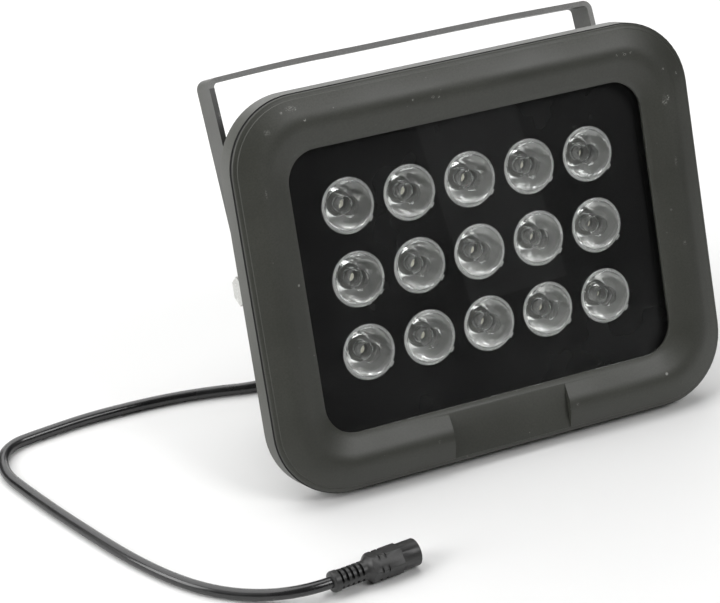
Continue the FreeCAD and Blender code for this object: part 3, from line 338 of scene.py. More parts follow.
def lamp_outline(shape, offset, depth, filled=False):
    """Rounded outline a given offset out from the window's edge, at a depth: gives back its new edges."""
    already = set(shape.edges)
    sheet = bmesh.ops.create_grid(shape, x_segments=1, y_segments=1, size=1.0)["verts"]
    bmesh.ops.scale(shape, vec=(WINDOW_HALF_WIDTH + offset, WINDOW_HALF_HEIGHT + offset, 1.0), verts=sheet)
    bmesh.ops.rotate(shape, matrix=Matrix.Rotation(math.radians(90.0), 3, "X"), verts=sheet)
    bmesh.ops.translate(shape, vec=(0.0, depth, 0.0), verts=sheet)
    corner = WINDOW_CORNER + (RIM_CORNER - WINDOW_CORNER) * offset / BEZEL_WIDTH
    bmesh.ops.bevel(shape, geom=sheet, affect="VERTICES", offset=corner, segments=CORNER_STEPS, profile=0.5,
                    material=-1, clamp_overlap=False)
    loop = [edge for edge in shape.edges if edge not in already]
    if not filled:
        sheet_face = [face for face in shape.faces if set(face.edges) == set(loop)]
        bmesh.ops.delete(shape, geom=sheet_face, context="FACES_ONLY")
    return loop


def cut_away(shape, tool):
    """Cuts one shape out of another and gives back what is left."""
    holders = []
    for part in (shape, tool):
        mesh = bpy.data.meshes.new("blank")
        part.to_mesh(mesh)
        part.free()
        holder = bpy.data.objects.new("blank", mesh)
        bpy.context.scene.collection.objects.link(holder)
        holders.append(holder)
    cut = holders[0].modifiers.new("cut", "BOOLEAN")
    cut.operation = "DIFFERENCE"
    cut.solver = "EXACT"
    cut.object = holders[1]
    left = bmesh.new()
    left.from_object(holders[0], bpy.context.evaluated_depsgraph_get())
    for holder in holders:
        blank = holder.data
        bpy.data.objects.remove(holder)
        bpy.data.meshes.remove(blank)
    return left


inner_slope = [(0.0, 1.2), (0.0, 0.15), (0.15, -0.03), (2.4, -0.98), (4.6, -1.85)]
crest_turns = [math.radians(CREST_TURN * step / CREST_STEPS) for step in range(-CREST_STEPS, CREST_STEPS + 1)]
crest = [(CREST_PLACE + CREST_ROUND * math.sin(turn), CREST_ROUND * (1 - math.cos(turn)) - CREST_HEIGHT)
         for turn in crest_turns]
outer_slope = [(17.0, -1.78), (18.9, -1.0), (19.2, -0.86), (19.38, -0.5)]
ledge = [(19.6, -0.42), (20.1, -0.26), (20.55, -0.04), (20.85, 0.2), (20.98, 0.45), (21.0, 0.95)]
joint_line = [(21.05, 1.02), (21.34, 1.04), (21.35, 1.21)]
bezel_section = inner_slope + crest + outer_slope + ledge + joint_line
bezel_shape = bmesh.new()
loops = [lamp_outline(bezel_shape, offset, depth) for offset, depth in bezel_section]
for loop, following in zip(loops, loops[1:] + loops[:1]):
    bmesh.ops.bridge_loops(bezel_shape, edges=loop + following)
bmesh.ops.recalc_face_normals(bezel_shape, faces=bezel_shape.faces)
facet_cut = bmesh.new()
bmesh.ops.create_cube(facet_cut, size=1.0)
bmesh.ops.scale(facet_cut, vec=(FACET_WIDTH, FACET_CUT_DEPTH, FACET_CUT_HEIGHT), verts=facet_cut.verts)
bmesh.ops.translate(facet_cut, vec=(FACET_SHIFT, FACET_LEVEL - FACET_CUT_DEPTH / 2,
                                    FACET_TOP - FACET_CUT_HEIGHT / 2), verts=facet_cut.verts)
bezel_shape = cut_away(bezel_shape, facet_cut)
# Faces in the joint behind the ledge get the dark finish: the rubber cord's colour and painted shade in the
# gap.
for face in bezel_shape.faces:
    middle = face.calc_center_median()
    off_window = max(abs(middle.x) - WINDOW_HALF_WIDTH, abs(middle.z) - WINDOW_HALF_HEIGHT)
    in_joint = off_window > JOINT_DARK_CLEAR and JOINT_DARK_FRONT < middle.y < JOINT_DARK_BACK
    face.material_index = 1 if in_joint else 0
bmesh.ops.transform(bezel_shape, matrix=LAMP_PLACE, verts=bezel_shape.verts)
bezel_paint = grained_finish("bezel_paint", bump=0.2, Grain_Scale=1500.0, Cloud_Scale=26.0,
                             Dark=(0.034, 0.0352, 0.0292, 1.0), Light=(0.048, 0.0496, 0.0412, 1.0),
                             Smoothest=0.38, Roughest=0.48)
# Dark finish in the joint: the rubber cord showing there, and painted shade in the gap.
joint_cord_and_shade = grained_finish("joint_cord_and_shade", bump=0.3, Grain_Scale=1300.0, Cloud_Scale=90.0,
                               Dark=(0.006, 0.006, 0.006, 1.0), Light=(0.013, 0.013, 0.012, 1.0),
                               Smoothest=0.6, Roughest=0.75)
scuff_spot, spot_in, spot_out = new_effect(
    "scuff_spot",
    [("Place", "NodeSocketVector", None), ("Spot", "NodeSocketVector", (0.0, 0.0, 0.0)),
     ("Reach", "NodeSocketVector", (0.001, 0.001, 0.001))],
    [("Mask", "NodeSocketFloat")])
away = add_node(scuff_spot, "ShaderNodeVectorMath", [], [(0, spot_in["Place"]), (1, spot_in["Spot"])],
                operation="SUBTRACT")
share = add_node(scuff_spot, "ShaderNodeVectorMath", [], [(0, away.outputs[0]), (1, spot_in["Reach"])],
                 operation="DIVIDE")
how_far = add_node(scuff_spot, "ShaderNodeVectorMath", [], [(0, share.outputs[0])], operation="LENGTH")
inside = add_node(scuff_spot, "ShaderNodeMapRange", [("From Min", 1.0), ("From Max", 0.5)],
                  [("Value", how_far.outputs["Value"])])
ragged = add_node(scuff_spot, "ShaderNodeTexNoise", [("Scale", 2600.0), ("Detail", 2.0)],
                  [("Vector", spot_in["Place"])])
torn = add_node(scuff_spot, "ShaderNodeMapRange", [("From Min", 0.46), ("From Max", 0.60)],
                [("Value", ragged.outputs["Fac"])])
scuffed = add_node(scuff_spot, "ShaderNodeMath", [],
                   [(0, inside.outputs["Result"]), (1, torn.outputs["Result"])], operation="MULTIPLY")
scuff_spot.links.new(scuffed.outputs[0], spot_out["Mask"])

paint_dust, dust_in, dust_out = new_effect(
    "paint_dust", [("Place", "NodeSocketVector", None), ("Cell Scale", "NodeSocketFloat", 170.0)],
    [("Mask", "NodeSocketFloat")])
cells = add_node(paint_dust, "ShaderNodeTexVoronoi", [],
                 [("Vector", dust_in["Place"]), ("Scale", dust_in["Cell Scale"])])
near = add_node(paint_dust, "ShaderNodeMapRange", [("From Min", 0.06), ("From Max", 0.03)],
                [("Value", cells.outputs["Distance"])])
few = add_node(paint_dust, "ShaderNodeMapRange", [("From Min", 0.5), ("From Max", 0.62)],
               [("Value", cells.outputs["Color"])])
specks = add_node(paint_dust, "ShaderNodeMath", [], [(0, near.outputs["Result"]), (1, few.outputs["Result"])],
                  operation="MULTIPLY")
paint_dust.links.new(specks.outputs[0], dust_out["Mask"])


def wear(finish, marks, tone, cell_scale=170.0):
    """Adds scuffs at given places, each with its reach, and a little dust to a grained finish."""
    tree = finish.node_tree
    shader = tree.nodes["Principled BSDF"]
    place = tree.nodes["Texture Coordinate"].outputs["Object"]
    paint = shader.inputs["Base Color"].links[0].from_socket
    worn_off = use_effect(tree, paint_dust, place, Cell_Scale=cell_scale).outputs["Mask"]
    for spot, reach in marks:
        one_mark = use_effect(tree, scuff_spot, place, Spot=spot, Reach=reach).outputs["Mask"]
        worn_off = add_node(tree, "ShaderNodeMath", [], [(0, worn_off), (1, one_mark)],
                            operation="MAXIMUM").outputs[0]
    worn = add_node(tree, "ShaderNodeMix", [("B", tone)], [("Factor", worn_off), ("A", paint)],
                    data_type="RGBA")
    tree.links.new(worn.outputs["Result"], shader.inputs["Base Color"])


wear(bezel_paint, tone=(0.13, 0.13, 0.12, 1.0),
     marks=[((0.0822, -0.0157, 0.1151), (0.0012, 0.0020, 0.0028)),
            ((0.0834, -0.0243, 0.0927), (0.0006, 0.0020, 0.0022)),
            ((0.0669, -0.0085, 0.1345), (0.0006, 0.0010, 0.0008)),
            ((-0.0839, -0.0163, 0.1140), (0.0005, 0.0020, 0.0021)),
            ((-0.0795, -0.0081, 0.1338), (0.0014, 0.0020, 0.0012)),
            ((-0.0691, -0.0050, 0.1397), (0.0024, 0.0020, 0.0012)),
            ((0.0274, -0.0540, 0.0151), (0.0009, 0.0020, 0.0007)),
            ((-0.0316, -0.0541, 0.0149), (0.0007, 0.0020, 0.0008)),
            ((0.0826, -0.0357, 0.0627), (0.0008, 0.0020, 0.0012))])
wear(bezel_paint, tone=(0.30, 0.30, 0.28, 1.0), cell_scale=80.0,
     marks=[((0.0676, -0.0086, 0.1342), (0.0009, 0.0009, 0.0006)),
            ((0.0703, -0.0085, 0.1344), (0.0006, 0.0006, 0.0006)),
            ((0.0641, -0.0085, 0.1344), (0.0006, 0.0006, 0.0006)),
            ((0.0831, -0.0115, 0.1262), (0.0008, 0.0008, 0.0005)),
            ((0.0892, -0.0113, 0.1232), (0.0006, 0.0006, 0.0007)),
            ((0.0836, -0.0156, 0.1158), (0.0006, 0.0010, 0.0014)),
            ((0.0819, -0.0160, 0.1143), (0.0013, 0.0010, 0.0006)),
            ((-0.0214, -0.0085, 0.1345), (0.0006, 0.0006, 0.0005)),
            ((-0.0133, -0.0086, 0.1340), (0.0008, 0.0008, 0.0006)),
            ((-0.0109, -0.0087, 0.1336), (0.0006, 0.0006, 0.0006)),
            ((-0.0727, -0.0053, 0.1390), (0.0006, 0.0006, 0.0006)),
            ((-0.0672, -0.0053, 0.1394), (0.0006, 0.0006, 0.0006)),
            ((-0.0646, -0.0080, 0.1356), (0.0007, 0.0007, 0.0006))])
show_piece("bezel", bezel_shape, "lamp", [bezel_paint, joint_cord_and_shade], ["front_bezel"],
           crease=30.0)

# Window pane. Flat toughened glass with ground edges. It lies on a rubber ring and is held by the lip round
# the bezel's window.
PANE_OVERLAP = 4.2
PANE_FRONT = 1.2
PANE_THICKNESS = 3.0


def let_lamps_through(tree, shader):
    """Clear glass or plastic that casts no shadow of its own."""
    rays = tree.nodes.new("ShaderNodeLightPath")
    clear = tree.nodes.new("ShaderNodeBsdfTransparent")
    through = add_node(tree, "ShaderNodeMixShader", [],
                       [("Fac", rays.outputs["Is Shadow Ray"]), (1, shader.outputs["BSDF"]),
                        (2, clear.outputs["BSDF"])])
    tree.links.new(through.outputs["Shader"], tree.nodes["Material Output"].inputs["Surface"])


def draw_out(shape, faces, reach):
    """Extrudes faces of a shape by a given vector."""
    drawn = bmesh.ops.extrude_face_region(shape, geom=faces)["geom"]
    corners = [corner for corner in drawn if isinstance(corner, bmesh.types.BMVert)]
    bmesh.ops.translate(shape, vec=reach, verts=corners)


pane_shape = bmesh.new()
lamp_outline(pane_shape, PANE_OVERLAP, PANE_FRONT, filled=True)
draw_out(pane_shape, pane_shape.faces[:], (0.0, PANE_THICKNESS, 0.0))
bmesh.ops.recalc_face_normals(pane_shape, faces=pane_shape.faces)
bmesh.ops.transform(pane_shape, matrix=LAMP_PLACE, verts=pane_shape.verts)
pane_glass, tree, shader, place = new_finish("pane_glass")
shader.inputs["Base Color"].default_value = (0.985, 0.995, 0.99, 1.0)
shader.inputs["Transmission Weight"].default_value = 1.0
shader.inputs["IOR"].default_value = 1.5
film = add_node(tree, "ShaderNodeTexNoise", [("Scale", 22.0), ("Detail", 3.0)], [("Vector", place)])
haze = add_node(tree, "ShaderNodeMapRange",
                [("From Min", 0.3), ("From Max", 0.7), ("To Min", 0.0), ("To Max", 0.012)],
                [("Value", film.outputs["Fac"])])
tree.links.new(haze.outputs["Result"], shader.inputs["Roughness"])
let_lamps_through(tree, shader)
show_piece("window_pane", pane_shape, "lamp", [pane_glass], ["cover_glass"], edge=0.0003)

# Black sheet. Glossy black plastic with a keyed hole for each lens. It lies close behind the glass, round the
# flanges of the lenses.
sheet_black = grained_finish("sheet_black", bump=0.04, Grain_Scale=900.0, Cloud_Scale=20.0,
                             Dark=(0.004, 0.004, 0.004, 1.0), Light=(0.006, 0.006, 0.006, 1.0),
                             Smoothest=0.2, Roughest=0.3)
dress("lens_mask", sheet_black)

# Collimator lenses. Fifteen moulded clear lenses in three rows: a flange with a key tab, a curved cone that
# turns the light forward, a well in the front and a socket over the emitter. The cone's wall and the flange
# are slightly milky.
LENS_ROWS = 3
LENS_COLUMNS = 5
LENS_PITCH_ACROSS = 25.07
LENS_PITCH_UP = 27.73
GRID_TURN = 0.8
GRID_SHIFT_ACROSS = -0.3
GRID_SHIFT_UP = 1.1
LENS_FRONT = 5.1
LENS_STEPS = 60
RIM_START = 9.35
RIM_EDGE = 10.2
RIM_BACK = 1.25
CONE_FOOT = 4.9
KEY_FRONT = 0.3
KEY_BACK = 1.0
KEY_FACETS = 2
KEY_REACH = 0.7
KEY_TURN = 38.0
front_well = [(0.0, 0.62), (1.2, 0.66), (2.4, 0.78), (3.2, 0.94), (3.45, 1.0), (3.62, 0.88), (3.8, 0.15)]
front_face = [(4.05, 0.0), (9.15, 0.0), (9.3, 0.08), (9.4, 0.32)]
flange = [(9.55, 0.4), (9.95, 0.36), (10.3, 0.42), (10.47, 0.58), (10.5, 0.8), (10.5, 1.2)]
cone = [(9.4, 1.2), (9.2, 2.2), (8.8, 3.6), (8.25, 5.2), (7.55, 6.9), (6.75, 8.5), (5.9, 9.9), (5.25, 10.8)]
back_edge = [(5.0, 11.12), (4.7, 11.28), (4.0, 11.28), (3.65, 11.1)]
emitter_socket = [(3.5, 10.7), (3.2, 6.6), (2.95, 6.25), (2.2, 5.95), (1.2, 5.72), (0.0, 5.62)]
lens_shape = bmesh.new()
last = None
for radius, depth in front_well + front_face + flange + cone + back_edge + emitter_socket:
    corner = lens_shape.verts.new((radius, depth, 0.0))
    if last:
        lens_shape.edges.new((last, corner))
    last = corner
bmesh.ops.spin(lens_shape, geom=lens_shape.verts[:] + lens_shape.edges[:], cent=(0, 0, 0), axis=(0, 1, 0),
               angle=math.radians(360.0), steps=LENS_STEPS, use_merge=True, use_duplicate=False)
bmesh.ops.remove_doubles(lens_shape, verts=lens_shape.verts, dist=0.0005)
bmesh.ops.recalc_face_normals(lens_shape, faces=lens_shape.faces)
rim = [face for face in lens_shape.faces if KEY_FRONT < face.calc_center_median().y < KEY_BACK
       and face.calc_center_median().xz.length > RIM_EDGE]
key_tab = sorted(rim, key=lambda face: -face.calc_center_median().x)[:KEY_FACETS]
draw_out(lens_shape, key_tab, (KEY_REACH, 0.0, 0.0))
bmesh.ops.delete(lens_shape, geom=[face for face in key_tab if face.is_valid], context="FACES")
bmesh.ops.rotate(lens_shape, matrix=Matrix.Rotation(math.radians(KEY_TURN), 3, "Y"), verts=lens_shape.verts)


def moulded_clear(name, clearness, flow_scale, ripple, smoothest, roughest):
    """Clear moulded plastic with a flowing surface, a slight milky veil and frosted patches."""
    finish, tree, shader, place = new_finish(name)
    shader.inputs["Transmission Weight"].default_value = clearness
    shader.inputs["IOR"].default_value = 1.49
    flow = add_node(tree, "ShaderNodeTexNoise", [("Scale", flow_scale), ("Detail", 2.0), ("Distortion", 0.8)],
                    [("Vector", place)])
    relief = add_node(tree, "ShaderNodeBump", [("Strength", ripple), ("Distance", 0.0004)],
                      [("Height", flow.outputs["Fac"])])
    tree.links.new(relief.outputs["Normal"], shader.inputs["Normal"])
    bands = add_node(tree, "ShaderNodeMapRange", [("From Min", 0.36), ("From Max", 0.66)],
                     [("Value", flow.outputs["Fac"])])
    veil = add_node(tree, "ShaderNodeMix", [("A", (0.90, 0.91, 0.89, 1.0)), ("B", (1.0, 1.0, 0.99, 1.0))],
                    [("Factor", bands.outputs["Result"])], data_type="RGBA")
    tree.links.new(veil.outputs["Result"], shader.inputs["Base Color"])
    patches = add_node(tree, "ShaderNodeTexNoise", [("Scale", 330.0), ("Distortion", 0.6)],
                       [("Vector", place)])
    frost = add_node(tree, "ShaderNodeMapRange",
                     [("From Min", 0.44), ("From Max", 0.56), ("To Min", smoothest), ("To Max", roughest)],
                     [("Value", patches.outputs["Fac"])])
    tree.links.new(frost.outputs["Result"], shader.inputs["Roughness"])
    let_lamps_through(tree, shader)
    return finish


def fill_grid(shape, depth, piece, finishes, node, crease):
    """Sets a copy of the shape in line with each hole of the black sheet, row by row from the upper left."""
    turned = Matrix.Rotation(math.radians(GRID_TURN), 4, "Y")
    shift = Vector((GRID_SHIFT_ACROSS, depth, GRID_SHIFT_UP))
    for number in range(LENS_ROWS * LENS_COLUMNS):
        row, column = divmod(number, LENS_COLUMNS)
        across = (column - LENS_COLUMNS // 2) * LENS_PITCH_ACROSS
        up = (LENS_ROWS // 2 - row) * LENS_PITCH_UP
        one = shape.copy()
        bmesh.ops.translate(one, vec=turned @ Vector((across, 0.0, up)) + shift, verts=one.verts)
        bmesh.ops.transform(one, matrix=LAMP_PLACE, verts=one.verts)
        show_piece(f"{piece}_{number + 1}", one, "lamp", finishes, [f"{node}_{number + 1}"],
                   crease=crease)
    shape.free()


lens_clear = moulded_clear("lens_clear", clearness=1.0, flow_scale=260.0, ripple=0.22, smoothest=0.0,
                           roughest=0.05)
lens_satin = moulded_clear("lens_satin", clearness=0.855, flow_scale=170.0, ripple=0.32, smoothest=0.07,
                           roughest=0.20)
lens_rim = moulded_clear("lens_rim", clearness=0.84, flow_scale=90.0, ripple=0.05, smoothest=0.04,
                         roughest=0.12)
for face in lens_shape.faces:
    middle = face.calc_center_median()
    on_cone = middle.y > RIM_BACK and middle.xz.length > CONE_FOOT
    face.material_index = 2 if middle.xz.length > RIM_START else 1 if on_cone else 0
fill_grid(lens_shape, LENS_FRONT, "collimator", [lens_clear, lens_satin, lens_rim], "lens",
          crease=40.0)

# Emitters. A square dark package with a pale round cup, a small die in the cup and a clear dome over it. Each
# is soldered to the board, in the socket of its lens.
EMITTER_SIDE = 4.4
EMITTER_BASE = 0.9
EMITTER_CORNER = 0.3
EMITTER_DEPTH = 16.4
CUP_RADIUS = 1.88
CUP_RISE = 0.05
DIE_RADIUS = 0.62
DIE_SIDES = 4
DIE_RISE = 0.12
DIE_SEAT = 0.95
DOME_ROUND = 1.9
DOME_SQUASH = 0.995
DOME_SEAT = 0.96
ROUND_SIDES = 36
package_dark = grained_finish("package_dark", bump=0.1, Grain_Scale=2600.0, Cloud_Scale=700.0,
                              Dark=(0.020, 0.020, 0.019, 1.0), Light=(0.034, 0.034, 0.032, 1.0),
                              Smoothest=0.3, Roughest=0.45)
cup_cream = grained_finish("cup_cream", bump=0.1, Grain_Scale=2600.0, Cloud_Scale=700.0,
                           Dark=(0.80, 0.77, 0.64, 1.0), Light=(0.94, 0.92, 0.82, 1.0),
                           Smoothest=0.2, Roughest=0.4)
dome_clear, tree, shader, place = new_finish("dome_clear")
shader.inputs["Transmission Weight"].default_value = 1.0
shader.inputs["IOR"].default_value = 1.41
grease = add_node(tree, "ShaderNodeTexNoise", [("Scale", 900.0)], [("Vector", place)])
film = add_node(tree, "ShaderNodeMapRange", [("To Min", 0.02), ("To Max", 0.1)],
                [("Value", grease.outputs["Fac"])])
tree.links.new(film.outputs["Result"], shader.inputs["Roughness"])
let_lamps_through(tree, shader)


def paint_corners(corners, finish):
    """Gives the faces at some corners the finish with that number."""
    for face in {face for corner in corners for face in corner.link_faces}:
        face.material_index = finish


emitter_shape = bmesh.new()
base = bmesh.ops.create_cube(emitter_shape, size=1.0)["verts"]
bmesh.ops.scale(emitter_shape, vec=(EMITTER_SIDE, EMITTER_BASE, EMITTER_SIDE), verts=base)
bmesh.ops.translate(emitter_shape, vec=(0.0, -EMITTER_BASE / 2, 0.0), verts=base)
upright = [edge for edge in emitter_shape.edges
           if abs((edge.verts[0].co - edge.verts[1].co).y) > EMITTER_BASE / 2]
bmesh.ops.bevel(emitter_shape, geom=upright, affect="EDGES", offset=EMITTER_CORNER, segments=3, profile=0.5,
                material=-1)
for radius, rise, seat, sides, finish in ((CUP_RADIUS, CUP_RISE, EMITTER_BASE, ROUND_SIDES, 1),
                                          (DIE_RADIUS, DIE_RISE, DIE_SEAT, DIE_SIDES, 0)):
    disc = bmesh.ops.create_cone(emitter_shape, cap_ends=True, segments=sides, radius1=radius, radius2=radius,
                                 depth=rise)["verts"]
    bmesh.ops.rotate(emitter_shape, matrix=Matrix.Rotation(math.radians(90.0), 3, "X"), verts=disc)
    bmesh.ops.translate(emitter_shape, vec=(0.0, -seat - rise / 2, 0.0), verts=disc)
    paint_corners(disc, finish)
dome = bmesh.ops.create_uvsphere(emitter_shape, u_segments=ROUND_SIDES, v_segments=ROUND_SIDES // 2,
                                 radius=DOME_ROUND)["verts"]
bmesh.ops.scale(emitter_shape, vec=(1.0, 1.0, DOME_SQUASH), verts=dome)
paint_corners(dome, 2)
bmesh.ops.translate(emitter_shape, vec=(0.0, -DOME_SEAT, 0.0), verts=dome)
for corner in dome:
    corner.co.y = min(corner.co.y, -DOME_SEAT)
bmesh.ops.remove_doubles(emitter_shape, verts=dome, dist=0.0005)
bmesh.ops.recalc_face_normals(emitter_shape, faces=emitter_shape.faces)
fill_grid(emitter_shape, EMITTER_DEPTH, "emitter_unit",
          [package_dark, cup_cream, dome_clear], "emitter", crease=35.0)

# Emitter board, screws and bolts. An aluminium-backed board with a dark grey solder resist, darker in a round
# patch under each emitter. It is screwed down inside the housing. All screws, bolts and washers of the lamp
# are zinc plated.
DARK_DISC_RADIUS = 0.0031
DARK_DISC_EDGE = 0.0034
board_grey = grained_finish("board_grey", bump=0.1, Grain_Scale=1200.0, Cloud_Scale=80.0,
                            Dark=(0.050, 0.051, 0.048, 1.0), Light=(0.080, 0.081, 0.077, 1.0),
                            Smoothest=0.35, Roughest=0.5)
tree = board_grey.node_tree
shader = tree.nodes["Principled BSDF"]
from_centre = add_node(tree, "ShaderNodeVectorMath", [(1, WINDOW_CENTRE)],
                       [(0, tree.nodes["Texture Coordinate"].outputs["Object"])], operation="SUBTRACT")
straight = add_node(tree, "ShaderNodeMapping", [("Rotation", (math.radians(LAMP_LEAN), 0.0, 0.0))],
                    [("Vector", from_centre.outputs[0])])
level = add_node(tree, "ShaderNodeMapping", [("Rotation", (0.0, math.radians(-GRID_TURN), 0.0))],
                 [("Vector", straight.outputs["Vector"])])
apart = add_node(tree, "ShaderNodeSeparateXYZ", [], [("Vector", level.outputs["Vector"])])
squares = []
for axis, shift, pitch in (("X", GRID_SHIFT_ACROSS, LENS_PITCH_ACROSS), ("Z", GRID_SHIFT_UP, LENS_PITCH_UP)):
    half_pitch = pitch * MILLIMETRE / 2
    moved = add_node(tree, "ShaderNodeMath", [(1, -shift * MILLIMETRE)], [(0, apart.outputs[axis])],
                     operation="ADD")
    wrapped = add_node(tree, "ShaderNodeMath", [(1, half_pitch), (2, -half_pitch)], [(0, moved.outputs[0])],
                       operation="WRAP")
    squares.append(add_node(tree, "ShaderNodeMath", [(1, 2.0)], [(0, wrapped.outputs[0])],
                            operation="POWER").outputs[0])
square_sum = add_node(tree, "ShaderNodeMath", [], [(0, squares[0]), (1, squares[1])], operation="ADD")
distance = add_node(tree, "ShaderNodeMath", [], [(0, square_sum.outputs[0])], operation="SQRT")
# The board's colour is made darker in a round patch under each emitter.
dark_disc = add_node(tree, "ShaderNodeMapRange", [("From Min", DARK_DISC_EDGE), ("From Max", DARK_DISC_RADIUS)],
               [("Value", distance.outputs[0])])
resist = shader.inputs["Base Color"].links[0].from_socket
disc_darkened = add_node(tree, "ShaderNodeMix", [("B", (0.025, 0.025, 0.024, 1.0))],
                  [("Factor", dark_disc.outputs["Result"]), ("A", resist)], data_type="RGBA")
tree.links.new(disc_darkened.outputs["Result"], shader.inputs["Base Color"])
dress("led_board", board_grey)
zinc_plating = grained_finish("zinc_plating", bump=0.12, metallic=1.0, Grain_Scale=1600.0, Cloud_Scale=260.0,
                              Dark=(0.52, 0.52, 0.50, 1.0), Light=(0.74, 0.74, 0.72, 1.0),
                              Smoothest=0.26, Roughest=0.42)
for node in ("led_board_screws", "driver_board_screws", "bezel_screws", "pivot_washers", "left_pivot_bolt",
             "right_pivot_bolt"):
    dress(node, zinc_plating)

# Driver. A green board with its inductor, capacitors and chip soldered on, and two red wires from it to the
# emitter board. It is screwed down at the back of the housing's inside.
board_green = grained_finish("board_green", bump=0.1, Grain_Scale=900.0, Cloud_Scale=120.0,
                             Dark=(0.010, 0.060, 0.028, 1.0), Light=(0.016, 0.085, 0.040, 1.0),
                             Smoothest=0.25, Roughest=0.4)
ferrite_black = grained_finish("ferrite_black", bump=0.3, Grain_Scale=1500.0, Cloud_Scale=200.0,
                               Dark=(0.010, 0.010, 0.010, 1.0), Light=(0.022, 0.022, 0.022, 1.0),
                               Smoothest=0.5, Roughest=0.7)
can_metal = grained_finish("can_metal", bump=0.1, metallic=1.0, Grain_Scale=1800.0, Cloud_Scale=200.0,
                           Dark=(0.62, 0.62, 0.63, 1.0), Light=(0.78, 0.78, 0.79, 1.0),
                           Smoothest=0.22, Roughest=0.34)
wire_red = grained_finish("wire_red", bump=0.1, Grain_Scale=900.0, Cloud_Scale=200.0,
                          Dark=(0.30, 0.015, 0.012, 1.0), Light=(0.42, 0.025, 0.018, 1.0),
                          Smoothest=0.3, Roughest=0.4)
dress("driver_board", board_green)
dress("driver_inductor", ferrite_black)
dress("driver_chip", ferrite_black)
dress("driver_capacitors", can_metal)
dress("led_leads", wire_red)

# Seals. Black rubber: a ring under the glass, a cord in the groove behind the bezel and a sleeve round the
# lead. They are squeezed in place when the bezel's screws and the outlet's nut are tightened.
seal_rubber = grained_finish("seal_rubber", bump=0.3, Grain_Scale=1300.0, Cloud_Scale=160.0,
                             Dark=(0.010, 0.010, 0.010, 1.0), Light=(0.018, 0.018, 0.018, 1.0),
                             Smoothest=0.6, Roughest=0.75)
for node in ("glass_gasket", "bezel_gasket", "gland_seal"):
    dress(node, seal_rubber)

# Lead outlet. A black nylon gland with a domed nut, locked from inside by a thin nut. The lead's inner end
# runs on through it to the driver.
gland_nylon = grained_finish("gland_nylon", bump=0.2, Grain_Scale=1500.0, Cloud_Scale=140.0,
                             Dark=(0.014, 0.014, 0.014, 1.0), Light=(0.024, 0.024, 0.024, 1.0),
                             Smoothest=0.38, Roughest=0.5)
for piece, node in (("outlet_body", "gland_body"), ("outlet_nut", "gland_nut")):
    show_piece(piece, merged_copy(node), "lamp", [gland_nylon], [node], crease=30.0,
               edge=0.0003)
dress("gland_lock_nut", gland_nylon)
dress("cable_tail", lead_jacket)

# Bracket. Flat steel strip bent to a U and powder coated. The front edges of the web and the right leg are
# painted lighter as a painted highlight, the left leg's front edge darker as painted shade, with one nick.
# The web has a slight kink left of the middle and leans a little more than the legs. Wall screws go through
# its three holes, and a bolt through each leg lets it tilt.
BRACKET_HALF_WIDTH = 81.55
BRACKET_STRIP = 14.5
BRACKET_THICKNESS = 2.05
BRACKET_BEND = 3.6
BRACKET_TILT = 11.57
PIVOT_DEPTH = 35.76
PIVOT_RISE = 1.15
PIVOT_HOLE = 3.1
PIVOT_DRILL = 175.0
FOOT_ROUND = BRACKET_STRIP / 2 - 0.02
WEB_ENDS = 79.4
WEB_LEAN = 3.0
WEB_TRIM = 0.5
BEND_FOOT = WEB_ENDS - 4.0
WEB_HOLE = 4.25
WEB_SIDE_HOLE = 3.25
WEB_SIDE_PLACE = 30.0
WEB_DRILL = 12.0
web_line = [(-60.0, 0.72), (-47.0, 0.98), (-33.0, 1.0), (-20.0, 0.86), (0.0, 0.86), (24.0, 0.84),
            (47.0, 0.74)]
strip_line = [(-BRACKET_HALF_WIDTH, -BRACKET_STRIP / 2), (-BRACKET_HALF_WIDTH, WEB_ENDS),
              *[(across, WEB_ENDS + rise) for across, rise in web_line],
              (BRACKET_HALF_WIDTH, WEB_ENDS), (BRACKET_HALF_WIDTH, -BRACKET_STRIP / 2)]
bracket_shape = bmesh.new()
line = [bracket_shape.verts.new((across, -BRACKET_STRIP / 2, up)) for across, up in strip_line]
line_edges = [bracket_shape.edges.new(pair) for pair in zip(line, line[1:])]
widened = bmesh.ops.extrude_edge_only(bracket_shape, edges=line_edges)["geom"]
bmesh.ops.translate(bracket_shape, vec=(0.0, BRACKET_STRIP, 0.0),
                    verts=[corner for corner in widened if isinstance(corner, bmesh.types.BMVert)])
for corner in bracket_shape.verts:
    if corner.co.z > WEB_ENDS - 1:
        corner.co.z += (corner.co.y + BRACKET_STRIP / 2) * math.tan(math.radians(WEB_LEAN))
        corner.co.y -= WEB_TRIM if corner.co.y > 0 else 0.0
foot_corners = [corner for corner in bracket_shape.verts if corner.co.z < 0]
bmesh.ops.bevel(bracket_shape, geom=foot_corners, affect="VERTICES", offset=FOOT_ROUND, segments=12,
                profile=0.5, material=-1)
bends = [edge for edge in bracket_shape.edges
         if all(abs(corner.co.x) > BRACKET_HALF_WIDTH - 1 and corner.co.z > WEB_ENDS - 1
                for corner in edge.verts)]
bmesh.ops.bevel(bracket_shape, geom=bends, affect="EDGES", offset=BRACKET_BEND, segments=10, profile=0.5,
                material=-1)
bmesh.ops.recalc_face_normals(bracket_shape, faces=bracket_shape.faces)
web_face = max(bracket_shape.faces, key=lambda face: face.calc_center_median().z)
inward = BRACKET_THICKNESS if web_face.normal.z > 0 else -BRACKET_THICKNESS
bmesh.ops.solidify(bracket_shape, geom=bracket_shape.faces[:], thickness=inward)
bmesh.ops.recalc_face_normals(bracket_shape, faces=bracket_shape.faces)
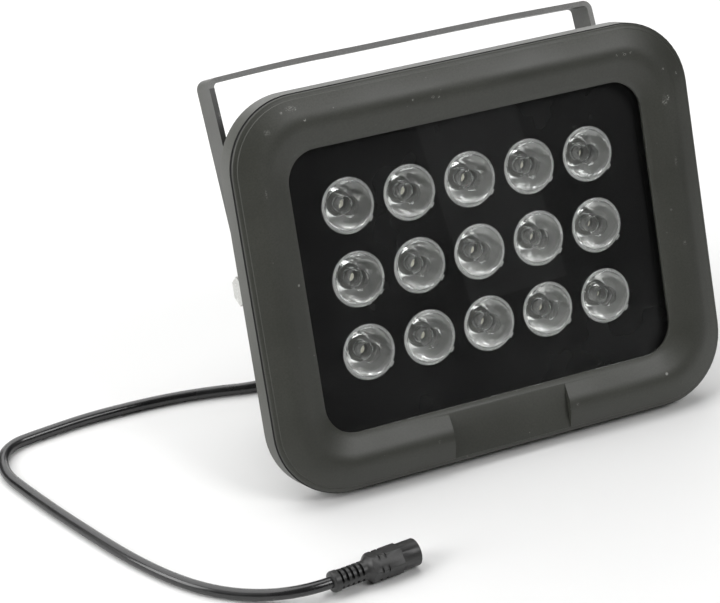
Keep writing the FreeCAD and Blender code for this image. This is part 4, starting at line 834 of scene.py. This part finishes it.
for radius, length, across, up, turn in ((PIVOT_HOLE, PIVOT_DRILL, 0.0, 0.0, 90.0),
                                         (WEB_HOLE, WEB_DRILL, 0.0, WEB_ENDS, 0.0),
                                         (WEB_SIDE_HOLE, WEB_DRILL, -WEB_SIDE_PLACE, WEB_ENDS, 0.0),
                                         (WEB_SIDE_HOLE, WEB_DRILL, WEB_SIDE_PLACE, WEB_ENDS, 0.0)):
    drill = bmesh.new()
    bmesh.ops.create_cone(drill, cap_ends=True, segments=40, radius1=radius, radius2=radius, depth=length)
    bmesh.ops.rotate(drill, matrix=Matrix.Rotation(math.radians(turn), 3, "Y"), verts=drill.verts)
    bmesh.ops.translate(drill, vec=(across, 0.0, up), verts=drill.verts)
    bracket_shape = cut_away(bracket_shape, drill)
# Front edges of the web and right leg get the painted highlight, and the left leg's front edge the painted
# shade.
for face in bracket_shape.faces:
    middle = face.calc_center_median()
    painted_lit_edge = middle.z > BEND_FOOT or middle.x > 0
    on_front_edge = face.normal.y < -0.9
    face.material_index = (1 if painted_lit_edge else 2) if on_front_edge else 0
bmesh.ops.transform(bracket_shape, matrix=LAMP_PLACE @ Matrix.Translation((0.0, PIVOT_DEPTH, PIVOT_RISE))
                    @ Matrix.Rotation(math.radians(-BRACKET_TILT), 4, "X"), verts=bracket_shape.verts)
bracket_paint = grained_finish("bracket_paint", bump=0.2, Grain_Scale=1500.0, Cloud_Scale=40.0,
                               Dark=(0.040, 0.0412, 0.0360, 1.0), Light=(0.056, 0.0576, 0.0500, 1.0),
                               Smoothest=0.40, Roughest=0.50)
# Lighter paint on the lit front edges: a painted highlight.
edge_painted_highlight = grained_finish("edge_painted_highlight", bump=0.2, Grain_Scale=1500.0, Cloud_Scale=60.0,
                            Dark=(0.150, 0.150, 0.146, 1.0), Light=(0.215, 0.214, 0.208, 1.0),
                            Smoothest=0.36, Roughest=0.46)
# Darker paint on the left leg's front edge: painted shade, with a nick and dust worn into it.
edge_painted_shade = grained_finish("edge_painted_shade", bump=0.3, Grain_Scale=1500.0, Cloud_Scale=120.0,
                             Dark=(0.008, 0.008, 0.008, 1.0), Light=(0.020, 0.020, 0.018, 1.0),
                             Smoothest=0.30, Roughest=0.42)
wear(bracket_paint, tone=(0.14, 0.14, 0.13, 1.0), marks=[])
wear(edge_painted_shade, tone=(0.16, 0.16, 0.15, 1.0), cell_scale=220.0,
     marks=[((-0.0792, 0.0345, 0.1212), (0.0016, 0.0016, 0.0020))])
strip = show_piece("tilting_bracket", bracket_shape, "bracket",
                   [bracket_paint, edge_painted_highlight, edge_painted_shade], ["bracket"], crease=32.0, edge=0.00045)
strip.modifiers["rounding"].material = 0
